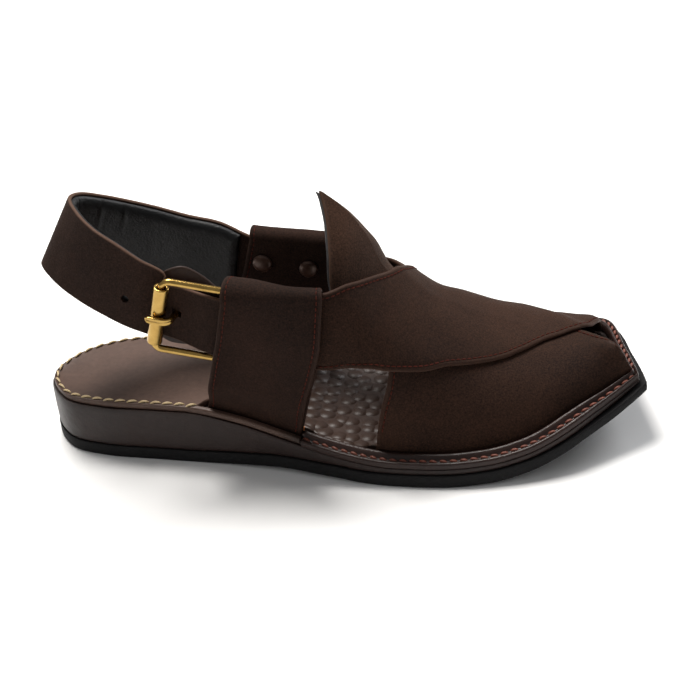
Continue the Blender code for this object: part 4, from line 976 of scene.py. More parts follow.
def strap_points(outline, free, inward, scale, nose_points):
    """Flat points of a strap: its outline, rings inside the free edges, an even triangular net
    farther in, and points on the seam over the nose, with room left round them."""
    rings = [outline + inward * (depth * MM / scale)[:, None] for depth in RING_DEPTHS]
    keep = free & np.roll(free, 1)
    rings = np.vstack([ring[keep] for ring in rings])
    low, high = outline.min(0), outline.max(0)
    columns = np.arange(low[0], high[0], STRAP_SPACING)
    lines = np.arange(low[1], high[1], STRAP_SPACING * ROW_SPACING)
    net = np.stack(np.meshgrid(columns, lines), -1)
    net[1::2, :, 0] += STRAP_SPACING / 2
    net = net.reshape(-1, 2)
    room, inside, free_room, nearest = to_outline(net, outline, free)
    net = net[inside & (room > NET_ROOM) & (free_room * scale[nearest] > NET_DEPTH)]
    room, inside, _, _ = to_outline(rings, outline, free)
    points = np.vstack([outline, rings[inside & (room > RING_ROOM)], net])
    if len(nose_points):
        off_seam = np.linalg.norm(points[:, None] - nose_points[None], axis=-1).min(-1)
        off_seam[:len(outline)] = 1
        points = np.vstack([points[off_seam > NOSE_ROOM], nose_points])
    return points


def lay_out(name, outline, free, nose_points, swell):
    """A strap over its flat outline. swell gives the outer and inner offsets from the last at
    each point, by its true distance from the free edges. Gives back the flat seam line."""
    inward, scale = edge_frame(outline, free)
    points = strap_points(outline, free, inward, scale, nose_points)
    count = len(outline)
    edges = [(k, (k + 1) % count) for k in range(count)]
    made = delaunay_2d_cdt([Vector(p / MM) for p in points], edges, [list(range(count))], 1, 1e-5)
    points = np.array([tuple(v) for v in made[0]]) * MM
    triangles = np.array(made[2])
    _, _, free_room, nearest = to_outline(points, outline, free)
    depth = free_room * scale[nearest]
    outer, inner = swell(points, depth)
    round_share = rounded(depth, STRAP_EDGE_ROUND, 0.01)
    middle, half = (outer + inner) / 2, (outer - inner) / 2
    seam = SEAM_PRESSED * bell(depth - SEAM_IN, SEAM_HALF)
    roll = FOLD_SWELLING * bell(depth - FOLD_IN, FOLD_HALF)
    top = place(points, middle + half * round_share - seam + roll)
    bottom = place(points, middle - half * round_share)
    rim = bell(depth, 1.15 * MM) * 0.85
    strap = piece(name, np.vstack([top, bottom]), two_sided(triangles, len(points)),
                  strap_nubuck, sharp=75, rim=np.r_[rim, rim])
    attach(strap, "root")
    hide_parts("upper")
    return outline + inward * (SEAM_IN / scale)[:, None]


def crease_drop(strap, points):
    """Depth of the strap's creases at flat points: each a soft trough along its line, with a
    low swelling on both sides."""
    drop = np.zeros(len(points))
    for name, start, end, width, depth in CREASES:
        if name == strap:
            line = flat(np.array((start[0], end[0])), np.array((start[1], end[1])))
            way = line[1] - line[0]
            share = ((points - line[0]) @ way) / (way @ way)
            off = np.linalg.norm(points - line[0] - np.clip(share, 0, 1)[:, None] * way, axis=1)
            fade = smooth_step(1.15 - 2 * np.abs(np.clip(share, 0, 1) - 0.5))
            drop += depth * fade * (bell(off, width) - 0.5 * bell(off - 1.8 * width, width))
    return drop


rear, front = flat_edge(LOWER_STRAP_REAR), flat_edge(LOWER_STRAP_FRONT)
lower_pieces = [
    (foot_line(LATERAL, LOWER_STRAP_REAR[0][0], 0.93), 2.2 * MM),
    (foot_line(LATERAL, 0.93, 1), 1.3 * MM),
    (foot_line(MEDIAL, 1, LOWER_STRAP_FRONT[0][0]), 1.3 * MM),
    (front[:220], 1.4 * MM), (front[219:], 1.4 * MM),
    (np.linspace(front[-1], rear[-1], 9), 1.6 * MM), (rear[::-1], 1.4 * MM),
]


def cut_out(parts, free_parts):
    """A strap's closed outline, and which of its points lie on a free edge."""
    counts = [len(closed_outline([part])) for part in parts]
    free = [np.full(count, k in free_parts) for k, count in enumerate(counts)]
    return closed_outline(parts), np.concatenate(free)


lower_outline, lower_free = cut_out(lower_pieces, (3, 4, 6))
nose_seam = closed_outline([(curve(flat(np.ones(5), np.linspace(1, 0.1, 5)), 200), 1.3 * MM)])[1:]


def lower_swell(points, depth):
    drop = crease_drop("lower", points)
    return STRAP_LEATHER - drop, 0 * depth - drop * 0.5


lower_seam = lay_out("lower_strap", lower_outline, lower_free, nose_seam, lower_swell)

rear, front = flat_edge(UPPER_STRAP_REAR), flat_edge(UPPER_STRAP_FRONT)
upper_pieces = [
    (front, 1.3 * MM),
    (foot_line(MEDIAL, UPPER_STRAP_FRONT[-1][0], UPPER_STRAP_REAR[-1][0]), 2.2 * MM),
    (rear[::-1], 1.3 * MM), (np.linspace(rear[0], front[0], 9), 1.6 * MM),
]
upper_outline, upper_free = cut_out(upper_pieces, (0, 2))


def crossing_lift(points):
    """1 over the lower strap, easing to 0 beside it."""
    room, inside, _, _ = to_outline(points, lower_outline, lower_free)
    return smooth_step(1 - np.where(inside, 0, room) / CROSSING_BLEND)


def upper_swell(points, depth):
    lift = crossing_lift(points)
    drop = crease_drop("upper", points)
    rise = CROSSING_RISE * lift
    return STRAP_LEATHER + rise - drop, rise - 0.5 * drop


upper_seam = lay_out("upper_strap", upper_outline, upper_free, np.zeros((0, 2)), upper_swell)


def edge_stitches(name, flat_line, lift):
    """Small stitches along a flat line on a strap."""
    station, turn = unflat(flat_line)
    line = off_last(station, turn, 0 * turn + lift)
    above_line = off_last(station, turn, 0 * turn + lift + 1 * MM)
    both = paced(np.hstack([line, above_line]), SEAM_PITCH * np.sqrt(2))
    line, out = both[:, :3], both[:, 3:] - both[:, :3]
    middle = (line[1:] + line[:-1]) / 2
    row = stitches(name, middle, np.diff(line, axis=0), out[1:], SMALL_STITCH, thread_brown,
                   bow=0.2)


def free_runs(free):
    """Index runs of the free outline points."""
    marks = np.flatnonzero(np.diff(np.r_[False, free, False].astype(int)))
    return [np.arange(a, b) for a, b in marks.reshape(-1, 2)]


for strap_name, seam_line, free, lift_of in (
        ("lower", lower_seam, lower_free, lambda p: 0 * p[:, 0]),
        ("upper", upper_seam, upper_free, lambda p: CROSSING_RISE * crossing_lift(p))):
    for part, run in enumerate(free_runs(free)):
        flat_line = seam_line[run[3:-3]]
        lift = STRAP_LEATHER + lift_of(flat_line) - crease_drop(strap_name, flat_line)
        edge_stitches(f"{strap_name}_strap_stitches_{part}", flat_line, lift - 0.05 * MM)


# The tongue: a pointed flap of the same nubuck under the straps, with a thin grey lining edge
# at its peak behind the crossing.
TONGUE_LEATHER = 1.6 * MM
TONGUE_GAP = 2.3 * MM
TONGUE_RISE = 3.1 * MM
TONGUE_CLEAR = 1.5 * MM
TONGUE_BLEND = 10 * MM
# Rear edges of the straps over the tongue: turn, station
STRAPS_REAR = [
    (-0.60, 0.425), (-0.55, 0.470), (-0.50, 0.517), (-0.406, 0.546), (-0.25, 0.576),
    (-0.036, 0.601), (0.12, 0.610), (0.29, 0.606), (0.43, 0.592), (0.54, 0.567), (0.61, 0.527),
]
# Rear edge of the tongue: turn, station
TONGUE_REAR = [
    (0.00, 0.507), (0.06, 0.512), (0.19, 0.519), (0.40, 0.523), (0.62, 0.526),
]
TONGUE_FRONT = 0.665
TONGUE_SPREAD = 0.58
TONGUE_LENGTH, TONGUE_WIDTH = 44 * MM, 84 * MM

tongue_nubuck = nubuck("tongue_brown_nubuck", paint(28, 17, 12), paint(72, 49, 36),
                       paint(70, 50, 39))


def shell(name, outer, inner, finish, keep=None, sharp=75, **attributes):
    """A closed sheet between two grids, with walls along the borders of the kept cells."""
    rows, columns = outer.shape[:2]
    keep = np.ones((rows - 1, columns - 1), bool) if keep is None else keep
    index = np.arange(rows * columns).reshape(rows, columns)
    cells = np.stack([index[:-1, :-1], index[1:, :-1], index[1:, 1:], index[:-1, 1:]], -1)[keep]
    under = rows * columns
    points = np.concatenate([outer.reshape(-1, 3), inner.reshape(-1, 3)])
    used = np.zeros(len(points), bool)
    used[cells.ravel()] = True
    used[cells.ravel() + under] = True
    renumbered = np.cumsum(used) - 1
    faces = [[int(renumbered[v]) for v in face] for face in two_sided(cells, under)]
    values = {key: np.r_[value.ravel(), value.ravel()][used] for key, value in attributes.items()}
    made = piece(name, points[used], faces, finish, sharp=sharp, **values)
    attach(made, "root")
    return made


def to_sides(length, shares):
    """Distance from the nearer end of a run."""
    return length * np.minimum(shares, 1 - shares)


def gathered(count, close):
    """Shares from 0 to 1, closer together at both ends."""
    even_share = np.linspace(0, 1, count)
    return even_share - close * np.sin(2 * np.pi * even_share) / (2 * np.pi)


tongue_across = 2 * gathered(121, 0.55) - 1
tongue_turns = TONGUE_SPREAD * np.sign(tongue_across) * np.abs(tongue_across)**1.35
tongue_along = gathered(61, 0.75)[:, None]
tongue_station = ease(TONGUE_REAR, 1, np.abs(tongue_turns))[None] * (1 - tongue_along)
tongue_station = tongue_station + TONGUE_FRONT * tongue_along
tongue_turn = np.broadcast_to(tongue_turns, tongue_station.shape)
tongue_depth = np.minimum(tongue_along * TONGUE_LENGTH + 0 * tongue_turn,
                          to_sides(TONGUE_WIDTH, (tongue_across + 1) / 2)[None])
tongue_half = rounded(tongue_depth, 0.9 * MM) * TONGUE_LEATHER / 2
tongue_behind = (ease(STRAPS_REAR, 1, tongue_turn) - tongue_station) * LENGTH
tongue_rise = TONGUE_RISE * smooth_step((tongue_behind - TONGUE_CLEAR) / TONGUE_BLEND)
tongue_middle = tongue_rise - TONGUE_GAP - TONGUE_LEATHER / 2
tongue_rim = bell(tongue_depth, 1.0 * MM) * 0.8
tongue = shell("nubuck_tongue", off_last(tongue_station, tongue_turn, tongue_middle + tongue_half),
               off_last(tongue_station, tongue_turn, tongue_middle - tongue_half),
               tongue_nubuck, rim=tongue_rim)
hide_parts("tongue")

# Its thin grey lining shows as a fine edge behind the peak.
TONGUE_LINING = 0.5 * MM
LINING_SHOWS = 0.0022
lining_grey = Finish("grey_tongue_lining", 0.6)
lining_grey.tones(lining_grey.noise(300, 3), paint(44, 43, 44), paint(84, 82, 82))
edge_share = (1 - tongue_along) * np.ones_like(tongue_turn)
lining_station = tongue_station - LINING_SHOWS * smooth_step((edge_share - 0.9) / 0.1)
lining_top = tongue_middle - TONGUE_LEATHER / 2 - 0.05 * MM
tongue_lining = shell("tongue_lining", off_last(lining_station, tongue_turn * 0.985, lining_top),
                      off_last(lining_station, tongue_turn * 0.985, lining_top - TONGUE_LINING),
                      lining_grey)
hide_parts("tongue")


# The side loops: a band of nubuck folded over at the top on each side of the instep, both
# panels standing on the wedge. The outer one holds the buckle's hinge, the inner one the end
# of the heel strap, fixed with two rivets.
LOOP_LEATHER = 1.9 * MM
LOOP_TOPS = {LATERAL: 104 * MM, MEDIAL: 97 * MM}
LOOP_SHIFT_MEDIAL = 0.012
LOOP_TOP_FALL = 5 * MM
LOOP_ROOM_OUT = 4.9 * MM
LOOP_ROOM_IN = 6.2 * MM
LOOP_SLACK = 1.9 * MM
LOOP_FLARE, LOOP_FLARE_OVER = 3.4 * MM, 0.3
# Where the panels part: height, then how far forward they stay apart: start and length
PARTS_FROM, PARTS_OVER = 0.04, 0.30
CLOSES_FROM, CLOSES_OVER = 0.25, 0.45
LOOP_WIDTH = 44 * MM
LOOP_ROUND = 0.95 * MM
LOOP_SEAMS = (0.055, 0.945)
# Share of the height, rear and front edge as stations
LOOP_EDGES = [
    (0.00, 0.287, 0.442), (0.36, 0.313, 0.470), (0.56, 0.327, 0.489), (0.74, 0.340, 0.503),
    (1.00, 0.356, 0.511),
]

# Painted shade: the loops have the same dark brown nubuck painted darker, for the shade on their
# sides.
loop_nubuck_painted_shade = nubuck("loop_brown_nubuck_painted_shade", paint(19, 11, 8), paint(50, 32, 24),
                     paint(46, 30, 23))


def loop_room(side, column, height):
    """Offsets from the last of a side loop's two inner faces: closed at the foot, close
    round the strap's end in front and widest at the rear, where the heel strap goes in."""
    open_up = smooth_step((height - PARTS_FROM) / PARTS_OVER)
    rear = 1 - smooth_step((column - CLOSES_FROM) / CLOSES_OVER)
    flare = LOOP_FLARE * (1 - np.clip(column / LOOP_FLARE_OVER, 0, 1))**2
    outer_rear = LOOP_ROOM_OUT + flare if side == LATERAL else STRAP_LEATHER + LOOP_SLACK
    inner_rear = LOOP_ROOM_IN if side == LATERAL else LOOP_SLACK
    outer_front = STRAP_LEATHER + LOOP_SLACK
    outer = GAP / 2 + open_up * (outer_front - GAP / 2 + rear * (outer_rear - outer_front))
    inner = -GAP / 2 - open_up * (LOOP_SLACK - GAP / 2 + rear * (inner_rear - LOOP_SLACK))
    return outer, inner


def loop_wall(side, columns, heights, fold):
    """Middle surface of a loop's wall, its thickness direction and the distance from its free
    edges: up the outer panel, round the fold and down the inner panel."""
    middle_rows, out_rows = [], []
    for column in columns:
        rear, front = ease(LOOP_EDGES, 1, heights), ease(LOOP_EDGES, 2, heights)
        if side == MEDIAL:
            rear = rear + LOOP_SHIFT_MEDIAL * heights
        station = rear * (1 - column) + front * column
        foot = top_height(station) - INSOLE_THICK
        outer, inner = loop_room(side, column, heights)
        fold_rise = (outer[-1] - inner[-1]) / 2 + LOOP_LEATHER
        top = LOOP_TOPS[side] - fold_rise - LOOP_TOP_FALL * column
        turn = turn_at(side, station, foot + (top - foot) * heights)
        crown = off_last(station[-1], turn[-1], 0.0)
        raised = turn_at(side, station[-1], top + 0.5 * MM)
        higher = off_last(station[-1], raised, 0.0)
        up_way = (higher - crown) / np.linalg.norm(higher - crown)
        out = off_last(station[-1], turn[-1], 1.0) - crown
        centre, radius = (outer[-1] + inner[-1]) / 2, (outer[-1] - inner[-1]) / 2
        skins = []
        for wall in (LOOP_LEATHER, 0.0):
            outside = off_last(station, turn, outer + wall)
            inside = off_last(station, turn, inner - wall)
            bend = crown + out * (centre + (radius + wall) * np.cos(fold))[:, None]
            bend = bend + up_way * ((radius + wall) * np.sin(fold))[:, None]
            skins.append(np.vstack([outside, bend, inside[::-1]]))
        middle_rows.append((skins[0] + skins[1]) / 2)
        out_rows.append((skins[0] - skins[1]) / 2)
    return np.array(middle_rows), np.array(out_rows)


loop_columns = gathered(45, 0.8)
loop_heights = np.linspace(0, 1, 56)
loop_fold = np.linspace(0, np.pi, 20)[1:-1]
for loop_name, side in (("side_loop_lateral", LATERAL), ("side_loop_medial", MEDIAL)):
    wall_middle, wall_out = loop_wall(side, loop_columns, loop_heights, loop_fold)
    loop_depth = to_sides(LOOP_WIDTH, loop_columns)[:, None] + 0 * wall_middle[..., 0]
    loop_round = rounded(loop_depth, LOOP_ROUND)[..., None]
    swelling = 0.12 * bell(loop_depth - FOLD_IN, FOLD_HALF)[..., None]
    swelling = swelling - 0.16 * bell(loop_depth - 2.4 * MM, 0.4 * MM)[..., None]
    loop = shell("leather_" + loop_name, wall_middle + wall_out * (loop_round + swelling),
                 wall_middle - wall_out * loop_round, loop_nubuck_painted_shade,
                 rim=bell(loop_depth, 1.0 * MM) * 0.8)
    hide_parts(loop_name)
    for part, seam_column in enumerate(LOOP_SEAMS):
        seam_middle, seam_out = loop_wall(side, np.array([seam_column]), loop_heights, loop_fold)
        seam_line = seam_middle[0] + seam_out[0] * 0.9
        both = paced(np.hstack([seam_line, seam_out[0] / LOOP_LEATHER * 2 * MM])[2:-2], SEAM_PITCH)
        row = stitches(f"{loop_name}_stitches_{part}", (both[1:, :3] + both[:-1, :3]) / 2,
                       np.diff(both[:, :3], axis=0), both[1:, 3:], SMALL_STITCH, thread_brown,
                       bow=0.2)


# The buckle's own directions: from the hinge in the loop towards the roller, up the bar and
# outwards. The heel strap's tail, the frame, roller, prong and flap are set out along them.
STRAP_THICK = 2.0 * MM
TAIL_WIDTH = 31 * MM
TAIL_FLARE = 2.2 * MM
BUCKLE_WIDTH = 40 * MM
BUCKLE_LENGTH = 36.5 * MM
BUCKLE_CORNER = 4 * MM
WIRE = 3.5 * MM
ROLLER_LENGTH = 32.5 * MM
ROLLER_OUTER = 7.3 * MM
ROLLER_WALL = 1.5 * MM
PRONG_WIDTH = 3.4 * MM
PRONG_THICK = 2.2 * MM
PRONG_THIN = 0.55
HINGE_STATION = 0.361
HINGE_LEVEL = 77.3 * MM
BUCKLE_WAY = (-0.955, -0.06, 0.27)
ROLLER_ACROSS = -0.327


def buckle_place():
    """Where the buckle sits: the hinge bar in the lateral loop, the roller towards the heel."""
    turn = turn_at(LATERAL, HINGE_STATION, HINGE_LEVEL)
    hinge = off_last(HINGE_STATION, turn, GAP)
    out = off_last(HINGE_STATION, turn, 1.0) - off_last(HINGE_STATION, turn, 0.0)
    back = np.array(BUCKLE_WAY) / np.linalg.norm(BUCKLE_WAY)
    up = np.cross(back, out)
    up /= np.linalg.norm(up)
    if up[2] < 0:
        up = -up
    out = np.cross(up, back)
    if out[1] > 0:
        out = -out
    return hinge, back, up, out


hinge, back_way, up_way, out_way = buckle_place()


def buckle_point(along, up, out):
    """Point of the buckle: metres towards the roller, up the bar and outwards."""
    return hinge + back_way * along + up_way * up + out_way * out


def tail_rows():
    """The strap's tail: over the hinge bar, down through the frame, behind the roller."""
    over = WIRE / 2 + GAP + STRAP_THICK / 2
    behind = -(ROLLER_OUTER / 2 + GAP + STRAP_THICK / 2 + 0.2 * MM)
    rows = []
    for along, depth in ((-10 * MM, over - 0.8 * MM), (0, over + 0.05 * MM),
                         (0.33 * BUCKLE_LENGTH, over - 1.8 * MM),
                         (0.75 * BUCKLE_LENGTH, behind + 1.4 * MM), (BUCKLE_LENGTH, behind)):
        half = TAIL_WIDTH / 2 + TAIL_FLARE * (1 - smooth_step(along / (0.6 * BUCKLE_LENGTH)))
        rows.append((buckle_point(along, half, depth), buckle_point(along, -half, depth)))
    return rows


# The heel strap: one nubuck band from its tail in the outer loop, over the hinge bar, down
# through the frame, behind the roller and round the heel into the inner loop. Its cut edge is
# pale and rough.
STRAP_WIDTH = 40 * MM
STRAP_HEIGHT = 132 * MM
MEDIAL_END_LEVEL = 91 * MM
MEDIAL_END = (0.36, 0.405)
MEDIAL_END_FALL = 0.25
MEDIAL_END_LEAN = (0.010, -0.022)
# Where the band begins to follow the roller, where it begins to narrow, and by how much
FOLLOWS_FROM, FOLLOWS_OVER = 0.18, 0.05
NARROWS_FROM, NARROWS_OVER, NARROWS_BY = 0.20, 0.07, 0.55
SLOT_SPAN = (0.70 * BUCKLE_LENGTH, 0.82 * BUCKLE_LENGTH)
HOLE_RADIUS = 1.9 * MM
HOLE_ALONG, HOLE_UP = 53 * MM, 0.5 * MM
# Upper edge: station, across in ball widths, height in strap heights; lean back and outwards
HEEL_STRAP = [
    (0.265, -0.274, 0.819, 0.27, 0.00), (0.227, -0.270, 0.868, 0.285, 0.02),
    (0.188, -0.240, 0.917, 0.32, 0.03), (0.153, -0.192, 0.952, 0.37, 0.04),
    (0.122, -0.115, 0.985, 0.48, 0.05), (0.102, -0.019, 1.004, 0.57, 0.03),
    (0.107, 0.077, 0.983, 0.50, 0.06), (0.137, 0.154, 0.936, 0.38, 0.08),
    (0.207, 0.240, 0.848, 0.30, 0.05), (0.262, 0.268, 0.790, 0.27, 0.03),
    (0.314, 0.276, 0.752, 0.25, 0.02),
]

strap_finish = nubuck("strap_brown_nubuck", paint(22, 13, 10), paint(54, 37, 29),
                      paint(86, 64, 52))


def even(points, count):
    """A smooth curve through a few points, sampled at equal lengths."""
    return sampled(curve(points, 40 * len(points)), np.linspace(0, 1, count))


def heel_strap_line(count):
    """Top and bottom edges of the heel strap from its tail in the lateral loop, behind the
    roller and round the heel to its end in the medial loop, as equal runs."""
    top, bottom = [], []
    for start, end in tail_rows():
        top.append(start)
        bottom.append(end)
    roller_moved = buckle_point(BUCKLE_LENGTH, 0, 0)[1] - ROLLER_ACROSS * BALL_WIDTH
    for station, across, height, lean_back, lean_out in HEEL_STRAP:
        follows = smooth_step((station - FOLLOWS_FROM) / FOLLOWS_OVER) if across < 0 else 0.0
        start = np.array([station * LENGTH - HEEL_SPOT,
                          across * BALL_WIDTH + follows * roller_moved, height * STRAP_HEIGHT])
        way = np.array([-lean_back, np.sign(across) * lean_out, -1.0])
        narrow = smooth_step((station - NARROWS_FROM) / NARROWS_OVER) if across < 0 else 0.0
        width = STRAP_WIDTH - NARROWS_BY * (STRAP_WIDTH - TAIL_WIDTH) * narrow
        start = start + way / np.linalg.norm(way) * (STRAP_WIDTH - width) / 2
        top.append(start)
        bottom.append(start + way / np.linalg.norm(way) * width)
    for station in MEDIAL_END:
        level = MEDIAL_END_LEVEL - (station - MEDIAL_END[0]) * LENGTH * MEDIAL_END_FALL
        for line, below, lean in ((top, 0, MEDIAL_END_LEAN[0]),
                                  (bottom, STRAP_WIDTH, MEDIAL_END_LEAN[1])):
            turn = turn_at(MEDIAL, station + lean, level - below)
            line.append(off_last(station + lean, turn, STRAP_THICK / 2))
    return even(np.hstack([top, bottom]), count)


def strap_frame(line, trim, lanes):
    """Grid points over a band between its two edges, and their outward directions."""
    top, bottom = line[:, :3], line[:, 3:]
    down = bottom - top
    width = np.linalg.norm(down, axis=1, keepdims=True)
    down = down / width
    along = np.gradient((top + bottom) / 2, axis=0)
    out = np.cross(along, down)
    out /= np.linalg.norm(out, axis=1, keepdims=True)
    top, bottom = top + down * trim, bottom - down * trim
    grid = top[:, None] * (1 - lanes[None, :, None]) + bottom[:, None] * lanes[None, :, None]
    across_depth = to_sides(width - 2 * trim, lanes[None, :])
    return grid, np.broadcast_to(out[:, None], grid.shape), across_depth


STRAP_ROWS = 460
strap_line = heel_strap_line(STRAP_ROWS)
strap_lanes = gathered(61, 0.6)
strap_middle, strap_out, strap_depth = strap_frame(strap_line, 0, strap_lanes)
in_buckle = strap_middle - hinge
buckle_along, buckle_up = in_buckle @ back_way, in_buckle @ up_way
cell_along = (buckle_along[1:, 1:] + buckle_along[:-1, :-1]) / 2
cell_up = (buckle_up[1:, 1:] + buckle_up[:-1, :-1]) / 2
near_side = (np.arange(STRAP_ROWS - 1) < STRAP_ROWS * 0.4)[:, None]
slot_hole = ((cell_along > SLOT_SPAN[0]) & (cell_along < SLOT_SPAN[1])
             & (np.abs(cell_up) < PRONG_WIDTH / 2 + GAP) & near_side)
hole_off = np.stack([buckle_along - HOLE_ALONG, buckle_up - HOLE_UP], -1)
hole_far = np.linalg.norm(hole_off, axis=-1)
cell_far = np.hypot(cell_along - HOLE_ALONG, cell_up - HOLE_UP)
round_hole = (cell_far < HOLE_RADIUS) & near_side
strap_keep = ~(slot_hole | round_hole)
touches = np.zeros(hole_far.shape, int)
for rows in (slice(1, None), slice(None, -1)):
    for lanes in (slice(1, None), slice(None, -1)):
        touches[rows, lanes] += round_hole
on_rim = (touches > 0) & (touches < 4)
pull = np.where(on_rim, HOLE_RADIUS / np.maximum(hole_far, 0.1 * MM) - 1, 0)[..., None]
strap_middle = strap_middle + pull * (hole_off[..., :1] * back_way + hole_off[..., 1:] * up_way)
strap_half = rounded(strap_depth, 0.8 * MM)[..., None] * STRAP_THICK / 2
strap_rim = bell(strap_depth, 0.55 * MM)
heel_band = shell("heel_band", strap_middle + strap_out * strap_half,
                  strap_middle - strap_out * strap_half, strap_finish, keep=strap_keep,
                  rim=strap_rim)
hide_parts("heel_strap")


# The lining: smooth black leather over soft padding inside the heel strap, full in the middle,
# thin at its sewn edges, with a few shallow puckers from its edge round the heel.
LINING_THICK = 3.2 * MM
LINING_INSET = 1.2 * MM
LINING_SPAN = (0.238, 0.9155)
LINING_LENGTH = 190 * MM
# Puckers: share along the lining, share of its width reached, half width, depth
PUCKERS = [(0.36, 0.75, 1.6 * MM, 0.8 * MM), (0.44, 0.5, 1.2 * MM, 0.5 * MM),
           (0.55, 0.7, 1.5 * MM, 0.7 * MM), (0.63, 0.5, 1.3 * MM, 0.5 * MM)]

lining_leather = Finish("black_lining_leather", 0.42, Specular_IOR_Level=0.35)
lining_leather.tones(lining_leather.noise(30, 3), paint(9, 9, 10), paint(22, 22, 24))
lining_leather.feed("Roughness", 0.36 + lining_leather.noise(120, 3) * 0.18)
lining_leather.relief(lining_leather.noise(900, 3) + lining_leather.noise(140, 3), 0.00035)

lining_first, lining_last = (int(share * (STRAP_ROWS - 1)) for share in LINING_SPAN)
lining_lanes = gathered(37, 0.5)
lining_grid, lining_out, lining_depth = strap_frame(strap_line[lining_first:lining_last + 1],
                                                    LINING_INSET, lining_lanes)
lining_share = np.linspace(0, 1, len(lining_grid))[:, None]
end_depth = to_sides(LINING_LENGTH, lining_share)
pad = rounded(np.minimum(lining_depth, end_depth), 5.5 * MM)
pucker = 0 * pad
for place_share, reach, width, depth in PUCKERS:
    off = (lining_share - place_share) * LINING_LENGTH
    pucker += depth * bell(off, width) * smooth_step(1 - lining_lanes[None] / reach)
lining_thickness = np.maximum(LINING_THICK * (0.28 + 0.72 * pad) - pucker, 0.5 * MM)[..., None]
lining_start = -STRAP_THICK / 2 - GAP
lining = shell("padded_lining", lining_grid + lining_out * lining_start,
               lining_grid + lining_out * (lining_start - lining_thickness), lining_leather)
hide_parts("heel_strap_lining")


# The buckle frame: pale brass wire bent to a rectangle, its hinge bar inside the outer loop.
brass = Finish("pale_polished_brass", 0.2, metallic=1.0)
brass_tone = brass.noise(240, 3)
brass.tones(brass_tone, paint(150, 118, 60), paint(196, 163, 96))
brass.feed("Roughness", 0.15 + brass_tone * 0.14)


def lathe(name, profile, centre, axis, sides, finish):
    """Rings of a profile (radius, level) round an axis through a centre; the profile closes
    on itself when its radii are never zero."""
    beside = np.cross(axis, (0.31, 0.59, 0.74))
    beside /= np.linalg.norm(beside)
    over = np.cross(axis, beside)
    angle = np.arange(sides) * 2 * np.pi / sides
    spokes = beside * np.cos(angle)[:, None] + over * np.sin(angle)[:, None]
    profile = np.array(profile)
    points = (centre + axis * profile[:, 1, None, None]
              + spokes[None] * profile[:, 0, None, None])
    made = piece(name, points, quads(len(profile), sides, wrap_rows=True, wrap_columns=True),
                 finish, sharp=35)
    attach(made, "root")
    return made


def wire_loop(name, path, radius, sides, finish):
    """A round wire along a closed flat path in the buckle's plane."""
    along = np.roll(path, -1, 0) - np.roll(path, 1, 0)
    along /= np.linalg.norm(along, axis=1, keepdims=True)
    beside = np.cross(along, out_way)
    angle = np.arange(sides) * 2 * np.pi / sides
    points = (path[:, None] + radius * (beside[:, None] * np.cos(angle)[None, :, None]
                                        + out_way * np.sin(angle)[None, :, None]))
    made = piece(name, points, quads(len(path), sides, wrap_rows=True, wrap_columns=True), finish)
    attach(made, "root")
    return made


frame_path = []
corner_bend = np.linspace(0, np.pi / 2, 17)
for start, along_at, up_at in ((0, BUCKLE_LENGTH, 1), (1, 0, 1), (2, 0, -1),
                               (3, BUCKLE_LENGTH, -1)):
    centre_along = along_at - BUCKLE_CORNER if along_at > 0 else BUCKLE_CORNER
    centre_up = up_at * (BUCKLE_WIDTH / 2 - BUCKLE_CORNER)
    turned = corner_bend + start * np.pi / 2
    frame_path.append(hinge + np.outer(centre_along + BUCKLE_CORNER * np.cos(turned), back_way)
                      + np.outer(centre_up + BUCKLE_CORNER * np.sin(turned), up_way))
buckle_frame = wire_loop("brass_frame", np.vstack(frame_path), WIRE / 2, 24, brass)
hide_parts("buckle_frame")


# The roller: a brass sleeve turning on the frame's end bar, its rims lightly rounded.
ROLLER_ROUND = 0.45 * MM
roller_profile = []
for radius_at, level_at, start in ((ROLLER_OUTER / 2, 1, 0), (ROLLER_OUTER / 2 - ROLLER_WALL, 1, 1),
                                   (ROLLER_OUTER / 2 - ROLLER_WALL, -1, 2),
                                   (ROLLER_OUTER / 2, -1, 3)):
    inside_by = -ROLLER_ROUND if start in (0, 3) else ROLLER_ROUND
    arc = np.linspace(0, np.pi / 2, 6) + start * np.pi / 2
    roller_profile.append(np.stack([radius_at + inside_by + ROLLER_ROUND * np.cos(arc),
                                    level_at * (ROLLER_LENGTH / 2 - ROLLER_ROUND)
                                    + ROLLER_ROUND * np.sin(arc)], -1))
roller = lathe("brass_roller", np.vstack(roller_profile), hinge + back_way * BUCKLE_LENGTH, up_way,
               48, brass)
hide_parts("buckle_roller")


# The prong: a flat brass bar from the hinge under the strap, up through its slot and over the
# roller, with a shallow bright groove along its top.
UNDER_BAR = -(WIRE / 2 + GAP + PRONG_THIN * PRONG_THICK / 2)
OVER_ROLLER = ROLLER_OUTER / 2 + GAP + PRONG_THICK / 2
# Route: along the buckle, outwards
PRONG_ROUTE = [
    (-1.0 * MM, UNDER_BAR), (4.0 * MM, UNDER_BAR),
    (0.40 * BUCKLE_LENGTH, UNDER_BAR - 1.0 * MM), (0.59 * BUCKLE_LENGTH, UNDER_BAR - 2.5 * MM),
    (0.72 * BUCKLE_LENGTH, -4.6 * MM), (0.79 * BUCKLE_LENGTH, -1.4 * MM),
    (0.83 * BUCKLE_LENGTH, 3.2 * MM), (BUCKLE_LENGTH - 3.4 * MM, OVER_ROLLER),
    (BUCKLE_LENGTH + 1.5 * MM, OVER_ROLLER + 0.1 * MM),
    (BUCKLE_LENGTH + 5.5 * MM, OVER_ROLLER - 0.6 * MM),
]
